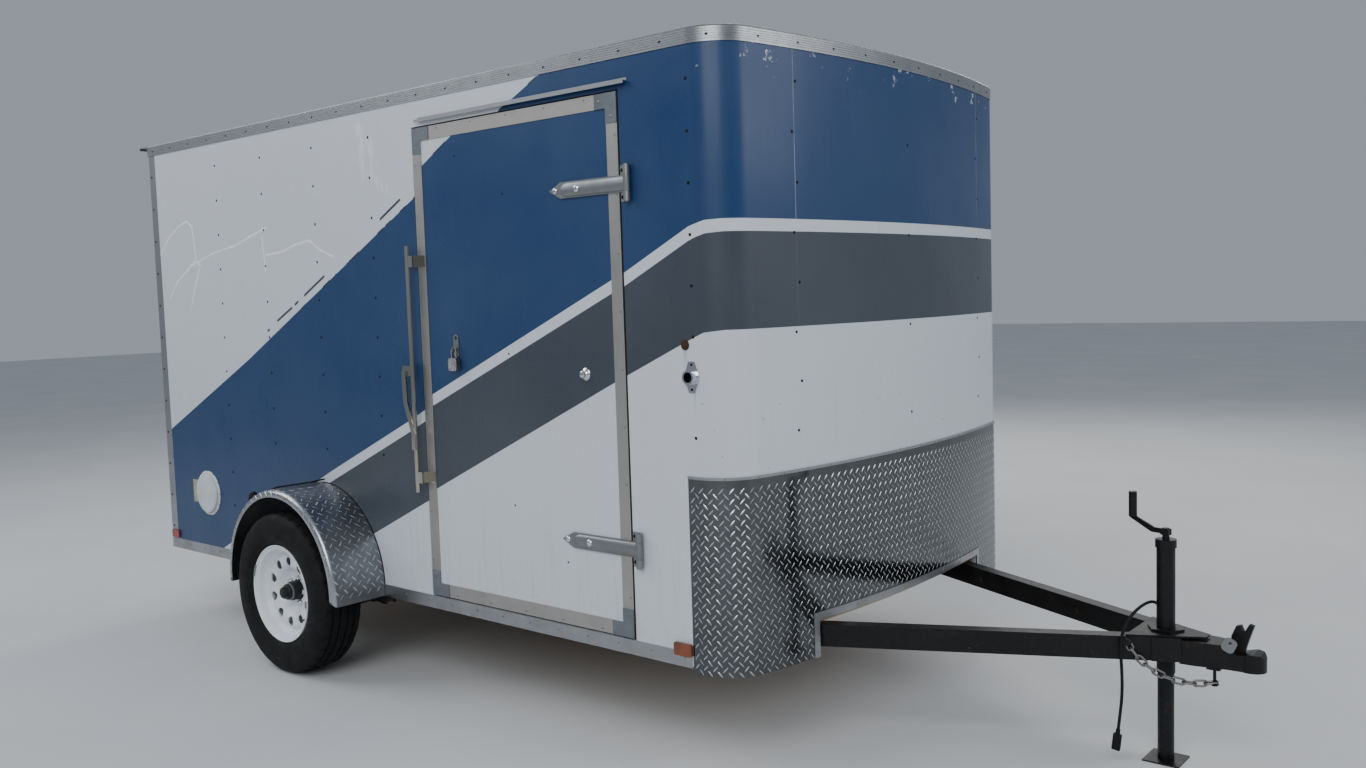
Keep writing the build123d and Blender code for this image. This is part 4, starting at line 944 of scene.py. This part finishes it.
# Wheels, as (radius, along the axle) in millimetres
TYRE_WALL = [
    (190.8, 74.5), (204, 75), (209, 77.5), (213, 85), (220, 91), (230, 95), (240, 98.5), (240.4, 99.5),
    (252, 101.2), (266, 102.4), (280, 102), (296, 99.8), (296.4, 99), (308, 97), (320, 93), (329, 88),
    (335.2, 82), (339, 76),
]
TREAD = [
    (340, 70), (340.8, 56), (334, 54.8), (334, 48), (341.8, 46.8), (343.2, 24), (336, 22.8), (336, 15),
    (343.6, 13.8), (344, 6), (344, 0),
]
RIM = [
    (206.5, -88), (208, -85), (207.2, -80), (204, -76.5), (196, -75.2), (190, -73.5), (189, -56), (172, -28),
    (172, 24), (188.5, 54), (190, 74), (196, 75.5), (204, 76.8), (207.2, 80), (208, 85), (206.2, 88),
    (202, 86.8), (198.5, 80), (195, 78.2), (188, 77.2), (185.5, 73), (183.8, 56), (180, 50), (170, 33),
    (166, 26.5), (162, 26.2), (159, 30), (155, 36.5), (150, 40.2), (144, 41.8), (138, 42.4), (130, 42.4),
    (122, 42), (115, 40), (108, 36), (100, 28), (90, 13), (84, 4.5), (78, 0.8), (45, 0), (45, -5),
    (80, -4.6), (87, 0), (94, 8), (103, 22), (110, 31), (118, 35.8), (143, 37.2), (149, 34), (154, 25),
    (158, 17), (164, 12), (167, 10), (167.2, -28), (184, -58), (186, -74), (206.5, -88),
]
HUB = [
    (36, -60), (36, -18), (70, -18), (70, -5.3), (40, -5.3), (40, 34), (39.2, 36.5), (36, 38.5), (34.5, 40),
    (34, 42), (33.5, 54.5), (32, 56.5), (27.5, 57.5), (26.2, 59), (25.5, 69), (23.8, 73.5), (19.5, 75.5),
    (18.8, 77), (17.2, 78),
]


def wheel(side, label):
    """Tyre with tread and moulded sidewall, dished white rim with holes, and black hub."""
    body = "wheel_" + label[0]
    centre = middle("rim_" + label)
    place = facing((centre.x, middle("tyre_" + label).y, centre.z), (0, side, 0), (0, 0, 1))

    def spot(reach, turn, along):
        return place @ Matrix.Translation(polar(reach, turn, along))

    def skin(row, index):
        """A point of the tyre, set back where a groove across the tread or a bar of the shoulder is cut."""
        radius, along = row
        if radius > 338.5:
            block = (index + (2 if abs(along) > 50 else 0) + (1 if along > 0 else 0)) % 5
            if block == 0 and abs(along) > 12:
                radius -= 5.5
        elif radius > 328 and index % 5 == 0:
            radius -= 1.5
        return place @ polar(radius / 1000, 2 * pi * index / 180, along / 1000)

    half = TYRE_WALL + TREAD
    full = half + [(radius, -along) for radius, along in half[-2::-1]]
    tyre = Build().rings([[skin(row, index) for row in full] for index in (*range(180), 0)]).finish(
        "tyre_skin_" + label, "tyre_rubber", body, "tyre_rubber", replaces=["tyre_" + label])
    rework(tyre.data, merge_doubles, face_outward)

    rim = Build().lathe(place, RIM, 120).finish(
        "rim_body_" + label, "rim_white", body, "wheel_white", replaces=["rim_" + label])
    rework(rim.data, merge_doubles, face_outward)
    holes = Build()
    for index in range(10):
        holes.lathe(spot(0.13, 2 * pi * (index + 0.45) / 10, 0.015), [(20, 0), (20, 50)], 28, 2)
    cut_away(rim, holes)

    Build().lathe(place, [(34.3, 39.5), (35.6, 40.2), (35.6, 45.5), (34.3, 46.2)], 64).finish(
        "hub_band_" + label, "zinc", body, "galvanised")
    Build().lathe(place, HUB, 64, 2).finish(
        "hub_body_" + label, "hub_black", body, "hub_black", replaces=["hub_" + label])
    nuts = Build()
    for turn in circle(5):
        nut = spot(0.05715, turn, 0.0003)
        nuts.lathe(nut, [(12.5, 0), (11.2, 3), (11.2, 3)], 24)
        nuts.lathe(nut, [(11, 2), (11, 14), (9.8, 15.8), (6, 17.6)], 6, 1)
    nuts.finish("wheel_nuts_" + label, "chrome", body, "chrome")
    stem = [(6, 0), (6, 6), (4.2, 10), (3.6, 26), (4.4, 27), (4.4, 36), (3, 38)]
    Build().lathe(spot(0.163, radians(-38), 0.024), stem, 16, 2).finish(
        "valve_" + label, "black_rubber", body, "tyre_rubber")
    Build().rings([
        [place @ polar(reach, radians(150 + index * 2.6), along)
         for reach, along in ((0.2, 0.087), (0.2085, 0.0878), (0.2085, 0.0905), (0.2, 0.0905))]
        for index in range(7)
    ], 2).finish("wheel_weight_" + label, "zinc", body, "galvanised")


def cut_away(thing, cutter):
    """Subtract a Build's solids from a piece's mesh."""
    tool = new_object("cutter", cutter.mesh("cutter"))
    modifier = thing.modifiers.new("cut", "BOOLEAN")
    modifier.operation = "DIFFERENCE"
    modifier.object = tool
    modifier.solver = "EXACT"
    graph = bpy.context.evaluated_depsgraph_get()
    result = bpy.data.meshes.new_from_object(thing.evaluated_get(graph))
    thing.modifiers.clear()
    old = thing.data
    thing.data = result
    bpy.data.meshes.remove(old)
    bpy.data.objects.remove(tool)
    rework(result, shade)


# Side door fittings
STRAP_LENGTH = 0.377
STRAP_HALF = 0.028


def strap_axes():
    """x of the hinge's axis and the two straps' heights."""
    low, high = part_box("side_door_straps")
    return high.x - 0.012, (low.z + STRAP_HALF, high.z - STRAP_HALF)


def door_straps():
    """Pressed strap hinges: an arch that ends like a spoon on a long pointed plate, and the knuckle."""
    axis_x, heights = strap_axes()
    # How far the back, plate, crown and pin lie out from the wall
    back, plate, crown, axis = 0.0026, 0.0065, 0.0155, 0.018
    arch_half, fade_start, fade_length, point_length = 0.024, 0.285, 0.037, 0.055
    stations = [0.0105, 0.1, 0.2, 0.27, fade_start]
    stations += [fade_start + fade_length * sin(pi / 2 * step / 9) for step in range(1, 10)]
    stations += [0.335, 0.35, 0.364, 0.3715, 0.3752, STRAP_LENGTH]
    half_mm = STRAP_HALF * 1000
    knuckle = [(12, 0.8 - half_mm), (12, half_mm - 0.8), (11.2, half_mm), (5.4, half_mm), (5.4, -half_mm),
               (11.2, -half_mm), (12, 0.8 - half_mm)]
    build = Build()
    for z in heights:
        rings = []
        for station in stations:
            half = STRAP_HALF * min(1.0, (STRAP_LENGTH + 0.0012 - station) / point_length)
            share = sqrt(1 - min(max((station - fade_start) / fade_length, 0.0), 1.0) ** 2)
            reach = max(arch_half * share, 0.0003)
            rise = (crown - plate) * share
            sides = [(half, 0.0), ((half + reach) / 2, 0.0)]
            sides += [(reach * sin(turn), rise * cos(turn)) for turn in spread(pi / 2, 0, 9)]
            line = [(-across, plate + lift) for across, lift in sides]
            line += [(across, plate + lift) for across, lift in sides[-2::-1]] + [(half, back), (-half, back)]
            rings.append([(axis_x - station, -HALF - out, z + across) for across, out in line])
        build.rings(rings, 2)
        build.lathe(Matrix.Translation((axis_x, -HALF - axis, z)), knuckle, 36)
    straps = build.finish("door_straps", "zinc", "side_door", "galvanised", replaces=["side_door_straps"])
    rework(straps.data, merge_doubles, face_outward)


def door_fittings():
    """Screws of the frame and corner caps, bolts, seal, and the holdback's and padlock's turned parts."""
    right = (0, -1, 0)
    low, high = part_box("side_door_frame")
    screws = Build()
    inset = 0.012
    for x in (low.x + inset, high.x - inset):
        for z in spread(low.z + 0.14, high.z - 0.14, 9):
            pan_head(screws, (x, low.y, z), right, 3.8, 1.6)
    for z in (low.z + inset, high.z - inset):
        for x in spread(low.x + 0.15, high.x - 0.15, 5):
            pan_head(screws, (x, low.y, z), right, 3.8, 1.6)
    cap_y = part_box("side_door_corners")[0].y
    for x, sign_x in ((low.x, 1), (high.x, -1)):
        for z, sign_z in ((low.z, 1), (high.z, -1)):
            for a, b in ((0.078, 0.025), (0.025, 0.078)):
                pan_head(screws, (x + sign_x * a, cap_y, z + sign_z * b), right, 4.6, 2.0)
    screws.finish("door_screws", "screw_steel", "side_door", "galvanised")

    axis_x, heights = strap_axes()
    bolts, wall_bolts = Build(), Build()
    for z in heights:
        bolts.lathe(facing((axis_x - STRAP_LENGTH + 0.027, low.y - 0.004, z), right),
                    [(10.5, -0.4), (10.5, 2), (8, 4.5), (4, 5.6)], 20, 1)
        bolts.lathe(facing((axis_x - STRAP_LENGTH * 0.63, low.y - 0.0125, z), right),
                    [(12.5, -1), (12.5, 1.5), (10, 4.5), (5, 6.2)], 24, 1)
        for shift in (-0.044, 0.044):
            pan_head(wall_bolts, (axis_x - 0.034, -HALF - 0.0021, z + shift), right, 6.2, 3.0)
    bolts.finish("strap_bolts", "chrome", "side_door", "galvanised")
    socket_low, socket_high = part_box("holdback_socket")
    socket = middle("holdback_socket")
    for z in (socket_low.z + 0.01, socket_high.z - 0.01):
        pan_head(wall_bolts, (socket.x, -HALF - 0.003, z), right, 4.5, 2.2)
    wall_bolts.finish("wall_bolts", "dark_screw", "root", "galvanised")

    place = facing((socket.x, -HALF, socket.z), right)
    Build().lathe(place, [(16.9, 22.5), (16.9, 3.6), (4, 3.4)], 32, 1).finish(
        "socket_bore", "socket_dark", "root", "lead_black")
    seal = Build()
    gap = 0.0055
    front_y, back_y = -HALF + 0.004, -HALF + 0.014
    for x in (low.x - gap, high.x + 0.0005):
        wide = x + gap - 0.0006
        seal.rings([[(x, front_y, z), (x, back_y, z), (wide, back_y, z), (wide, front_y, z)]
                    for z in (low.z - 0.004, high.z + 0.004)], 2)
    for z in (low.z - gap, high.z + 0.0005):
        tall = z + gap - 0.0006
        seal.rings([[(x, front_y, z), (x, back_y, z), (x, back_y, tall), (x, front_y, tall)]
                    for x in (low.x, high.x)], 2)
    seal.finish("door_seal", "black_rubber", "root", "lead_black", smooth=False)
    stud = middle("holdback_plunger")
    Build().lathe(facing((stud.x, -HALF, stud.z), right), [
        (22, 0), (22, 2.2), (20, 4.2), (15.5, 5.5), (12.5, 7.8), (9.8, 10.5), (9.6, 13), (12, 15),
        (12.7, 17.2), (12, 19.6), (8.8, 21.4), (3, 22),
    ], 40, 2).finish("plunger_stud", "chrome", "side_door", "chrome", replaces=["holdback_plunger"])
    lock_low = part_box("padlock")[0]
    place = facing((middle("padlock").x + 0.006, lock_low.y, lock_low.z + 0.026), right)
    Build().lathe(place, [(8.5, -0.4), (8.5, 1), (7, 1.6), (3, 1.2)], 24, 1).finish(
        "padlock_cylinder", "chrome", "side_door", "chrome")


def vents():
    """Round vents: a notched flange ring screwed to the wall round a flat cover."""
    low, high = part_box("side_vents")
    centre = middle("side_vents")
    radius = (high.z - low.z) / 2
    wide, deep = radius * 1000, (high.y - HALF) * 1000
    # Share of the radius and distance out
    flange = ((1.0, 0.0002), (1.0, 0.0022), (0.985, 0.0034), (0.93, 0.0036), (0.915, 0.006), (0.89, 0.0062),
              (0.88, 0.003))
    cover = [(wide * 0.875, 1.5), (wide * 0.875, deep - 3), (wide * 0.862, deep - 0.8), (wide * 0.845, deep),
             (wide * 0.7, deep + 0.2), (wide * 0.35, deep + 0.4), (wide * 0.02, deep + 0.5)]
    for side, label in SIDES:
        place = facing((centre.x, side * HALF, centre.z), (0, side, 0))
        build = Build()
        rows = []
        for index, turn in enumerate(circle(180)):
            notch = 0.955 if index % 15 in (0, 1) else 1.0
            rows.append([place @ polar(radius * share * (notch if share > 0.97 else 1), turn, along)
                         for share, along in flange])
        build.rings(rows + rows[:1], closed=False)
        for index in range(8):
            point = place @ polar(radius * 0.955, 2 * pi * (index + 0.5) / 8, 0.0036)
            pan_head(build, point, (0, side, 0), 3.2, 1.4)
        build.finish("vent_ring_" + label, "vent_ring", "root", "vent_plastic")
        both = ["side_vents"] if side < 0 else ()
        Build().lathe(place, cover, 96, 1).finish(
            "vent_cover_" + label, "vent_plastic", "root", "vent_plastic", replaces=both)


def small_lamps():
    """A dark lamp in its rubber ring near the front of each side, and a lens on each fender's lamp."""
    for side, label in SIDES:
        point, normal = on_outline(side_along(side, 3.504))
        place = facing((point.x, point.y, 1.395), normal)
        Build().lathe(place, [(16.5, 0), (16.5, 2.2), (15, 4), (12, 4.2), (11.2, 3)], 32).finish(
            "corner_lamp_ring_" + label, "brown_rubber", "root", "lead_black")
        Build().lathe(place, [(11.4, 2), (10.8, 4.2), (8, 6.2), (3.5, 7)], 32, 1).finish(
            "corner_lamp_lens_" + label, "brown_rubber", "root", "amber_lens")
    low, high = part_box("fender_left")
    radius = (high.x - low.x) / 2
    back = 0.211
    rise = sqrt(radius ** 2 - back ** 2)
    normal = Vector((-back / radius, 0, rise / radius))
    for side, label in SIDES:
        seat = Vector((middle("fender_left").x - back, side * (high.y - 0.034), high.z - radius + rise))
        place = facing(seat + normal * 0.0264, normal)
        Build().lathe(place, [(15.5, -0.8), (14.6, 3), (11, 5.2), (4, 6.2)], 32, 1).finish(
            "fender_lamp_lens_" + label, "dark_amber", "root", "amber_lens")


# Chain
def at(x, y, z):
    """A point given in millimetres from the box's rear face."""
    return Vector((REAR_X + x / 1000, y / 1000, z / 1000))


def safety_chain():
    """Smooth round links on the same path as the solid chain, and its two bolts."""
    # The tongue's slanted rail, in millimetres from the box's rear face
    ball_x, box_x, half_at_box, end_x, end_half = 4944.0, 3775.0, 530.0, 4742.0, 58.4
    slope = (half_at_box - end_half) / (end_x - box_x)
    lean = atan(slope)
    start_x = ball_x - 336.0
    start = at(start_x, -(half_at_box - slope * (start_x - box_x)) - 13.5 / cos(lean), 412.0)
    end = at(ball_x - 102.0, -30.0, 295.0)
    link_length, link_width, bar, count = 0.046, 0.025, 0.0035, 10
    inside = link_length / 2 - 2 * bar
    pin_reach = inside - 0.0052
    pitch = 2 * inside - 0.0004
    length = 2 * pin_reach + (count - 1) * pitch
    # The chain hangs in an arc as long as itself
    chord = end - start
    half_turn = sqrt(6 * (1 - chord.length / length)) * 1.04
    sag = length / (2 * half_turn) * (1 - cos(half_turn))
    sideways = chord.cross(Vector((0, 0, 1))).normalized()
    down = chord.cross(sideways).normalized()
    if down.z > 0:
        down = -down
    radius = (chord.length ** 2 / 4 + sag ** 2) / (2 * sag)
    centre = (start + end) / 2 + down * (sag - radius)
    reach = asin(chord.length / 2 / radius)
    ahead = chord.normalized()
    end_radius = link_width / 2 - bar
    straight = (link_length - link_width) / 2
    build = Build()
    for index in range(count):
        turn = -reach + 2 * reach * (pin_reach + index * pitch) / length
        point = centre + radius * (ahead * sin(turn) + down * cos(turn))
        tangent = ahead * cos(turn) - down * sin(turn)
        wide = sideways if index % 2 else tangent.cross(sideways)
        build.tube([
            point + tangent * (end_radius * cos(around) + (straight if cos(around) >= 0 else -straight))
            + wide * end_radius * sin(around) for around in circle(32)
        ], bar, 12, closed=True)
    build.finish("chain_links", "zinc_rust", "root", "galvanised", replaces=["safety_chain"])
    ends = Build()
    normal = Vector((sin(lean), -cos(lean), 0))
    ends.tube([start - normal * 0.0135, start + normal * 0.006], 0.005, 20)
    hex_head(ends, start + normal * 0.0052, normal, 10, 6)
    lug_z = 0.343
    ends.tube([Vector((end.x, end.y, z)) for z in (end.z - 0.007, lug_z - 0.001)], 0.005, 20)
    hex_head(ends, Vector((end.x, end.y, end.z - 0.0065)), (0, 0, -1), 10, 6)
    corners = ((-0.02, -0.048), (0.02, -0.048), (0.02, 0.048), (-0.02, 0.048))
    ends.rings([[(end.x + dx, dy, z) for dx, dy in corners] for z in (lug_z - 0.006, lug_z)], 2)
    ends.finish("chain_bolts", "black_steel", "root", "galvanised")


def stage():
    """Pale floor and soft lights."""
    mesh = bpy.data.meshes.new("floor")
    mesh.from_pydata([(-40, -40, 0), (40, -40, 0), (40, 40, 0), (-40, 40, 0)], [], [(0, 1, 2, 3)])
    mat = Shader("floor", (0.62, 0.63, 0.64), 0.85)
    mat.set("Base Color", mat.mix(mat.spots(0.8, 3, 0.3, 0.7), (0.60, 0.61, 0.62), (0.65, 0.66, 0.66)))
    mesh.materials.append(MATERIALS["floor"])
    floor = new_object("floor", mesh)
    world = bpy.data.worlds.new("studio")
    bpy.context.scene.world = world
    world.use_nodes = True
    background = world.node_tree.nodes["Background"]
    background.inputs["Color"].default_value = (0.72, 0.80, 0.92, 1)
    background.inputs["Strength"].default_value = 0.42
    for place, size, power, colour in (
        ((4.0, -7.5, 6.0), 6.0, 430, (0.97, 0.98, 1.0)),
        ((8.5, 2.5, 5.0), 5.0, 240, (0.95, 0.97, 1.0)),
        ((-6.0, -4.0, 6.5), 5.0, 260, (0.95, 0.97, 1.0)),
        ((-2.0, 7.0, 6.5), 5.0, 300, (1.0, 0.97, 0.92)),
    ):
        light = bpy.data.lights.new("soft", "AREA")
        light.energy = power
        light.size = size
        light.color = colour
        lamp = new_object("soft", light)
        lamp.location = place
        lamp.rotation_euler = (Vector((0.3, 0, 1.0)) - Vector(place)).to_track_quat("-Z", "Y").to_euler()


roof_trim()
fasteners()
floor_cove()
guard_plate()
for wheel_side, wheel_label in SIDES:
    fender(wheel_side, wheel_label)
    wheel(wheel_side, wheel_label)
door_straps()
door_fittings()
vents()
small_lamps()
safety_chain()
stage()
